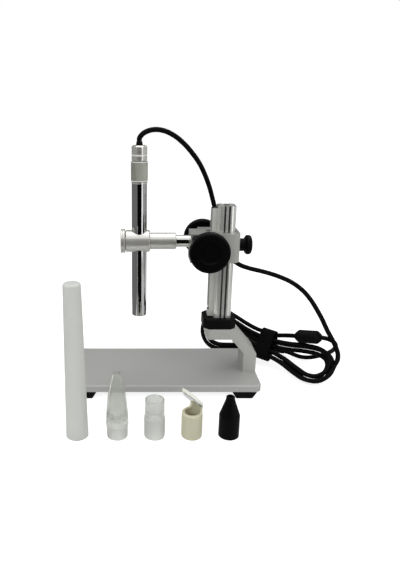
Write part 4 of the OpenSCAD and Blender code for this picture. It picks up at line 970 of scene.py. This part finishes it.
def clear_plastic(name, let_through, frost_top, upper_rough, upper_shade_tone):
    """Milky clear plastic, frosted up to a height, and smoother above it, with a greyer tone of painted
    shade.
    """
    made, tree, output = material(name)
    shader = add_node(tree, "ShaderNodeBsdfPrincipled", {"Transmission Weight": let_through, "IOR": 1.49})
    place = add_node(tree, "ShaderNodeTexCoord")
    parts = add_node(tree, "ShaderNodeSeparateXYZ")
    above = add_node(tree, "ShaderNodeMapRange",
                     {"From Min": frost_top - frost_fade, "From Max": frost_top + frost_fade})
    grain = place_group(tree, "grain", Scale=900.0, Low=0.42, High=0.56)
    rough = add_node(tree, "ShaderNodeMix", {3: upper_rough}, data_type="FLOAT")
    edges = place_group(tree, "edges", Radius=0.0002)
    tree.links.new(place.outputs["Object"], parts.inputs[0])
    tree.links.new(parts.outputs["Z"], above.inputs["Value"])
    tree.links.new(above.outputs[0], rough.inputs[0])
    tree.links.new(grain.outputs["Value"], rough.inputs[2])
    tree.links.new(rough.outputs[0], shader.inputs["Roughness"])
    milky_tone = mix_colour(tree, grain.outputs["Height"], "eeefeb", "f5f6f3")
    tree.links.new(mix_colour(tree, above.outputs[0], milky_tone, upper_shade_tone), shader.inputs["Base Color"])
    tree.links.new(edges.outputs["Normal"], shader.inputs["Normal"])
    tree.links.new(shader.outputs[0], output.inputs["Surface"])
    return made


clear = {
    # The last tone of each acrylic is the painted shade of its upper part.
    "cone_acrylic": clear_plastic("cone_acrylic", 0.78, 14 * MM, 0.05, "dbddd8"),
    "cup_acrylic": clear_plastic("cup_acrylic", 0.66, 18 * MM, 0.2, "e4e6e2"),
    "optical_glass": finish("optical_glass", ("eef4f5", "f7fafa"), (0.01, 0.03), scale=200, bump=0.0,
                            **{"Transmission Weight": 1.0, "IOR": 1.52}),
}
print(len(clear), "clear finishes")

# %% [markdown]
# ## Woven strap
# The strap is a narrow woven band. Two sets of fine waves, one along the band and one across it, make the
# weave, and its height goes into a bump.

# %% Woven strap
def woven_strap():
    """Black webbing with a plain weave."""
    made, tree, output = material("strap_fabric")
    shader = add_node(tree, "ShaderNodeBsdfPrincipled", dull)
    place = add_node(tree, "ShaderNodeTexCoord")
    threads = [add_node(tree, "ShaderNodeTexWave", {"Scale": 260.0, "Distortion": 0.6}, bands_direction=way)
               for way in ("X", "Z")]
    weave = add_node(tree, "ShaderNodeMath", operation="MULTIPLY")
    relief = add_node(tree, "ShaderNodeBump", {"Strength": 0.5, "Distance": 0.0003})
    grain = place_group(tree, "grain", Scale=900.0, Low=0.7, High=0.9)
    for i, thread in enumerate(threads):
        tree.links.new(place.outputs["Object"], thread.inputs["Vector"])
        tree.links.new(thread.outputs["Fac"], weave.inputs[i])
    tree.links.new(weave.outputs[0], relief.inputs["Height"])
    tree.links.new(mix_colour(tree, weave.outputs[0], "050505", "0f0f0f"), shader.inputs["Base Color"])
    tree.links.new(grain.outputs["Value"], shader.inputs["Roughness"])
    tree.links.new(relief.outputs[0], shader.inputs["Normal"])
    tree.links.new(shader.outputs[0], output.inputs["Surface"])
    return made


finishes = {**metals, **plastics, **clear, "strap_fabric": woven_strap()}
print(len(finishes), "finishes in all")

# %% [markdown]
# ## Dress the pieces
# Each CAD piece takes the finish of its material slot in the record. The turned pieces take the finish
# whose lathe rings run round their own axis, and the two clear tips take their own acrylic. New pieces
# name the slot that they belong to.

# %% Finishes on CAD nodes and pieces
slot_finish = {"turned_aluminium": "turned_across"}
own_finish = {"end_cap": "turned_upright", "tail_plug": "turned_upright", "cone_tip": "cone_acrylic",
              "cup_tip": "cup_acrylic"}
new_pieces = [(piece, "cable_black", "cable_black") for piece in cable_pieces]
new_pieces += [(band, "highlight_band", "turned_aluminium") for band in bands]
new_pieces += [
    (strap, "strap_fabric", "strap_fabric"),
    (ribs["cone"], "cone_acrylic", "clear_acrylic"),
    (ribs["cup"], "cup_acrylic", "clear_acrylic"),
    (ribs["mirror"], "ivory_plastic", "ivory_plastic"),
    (lid_rim, "rim_highlight_ivory", "ivory_plastic"),
    (knurled_ring, "knurled_aluminium", "knurled_aluminium"),
]


def dress(obj, name):
    """Gives an object one finish."""
    obj.data.materials.clear()
    obj.data.materials.append(finishes[name])


for part in frame["record"]["subparts"]:
    slot = part["material_slot"]
    dress(nodes[part["node"]], own_finish.get(part["node"], slot_finish.get(slot, slot)))
for piece, name, slot in new_pieces:
    dress(piece, name)
print("dressed", len(nodes), "nodes and", len(new_pieces), "pieces")
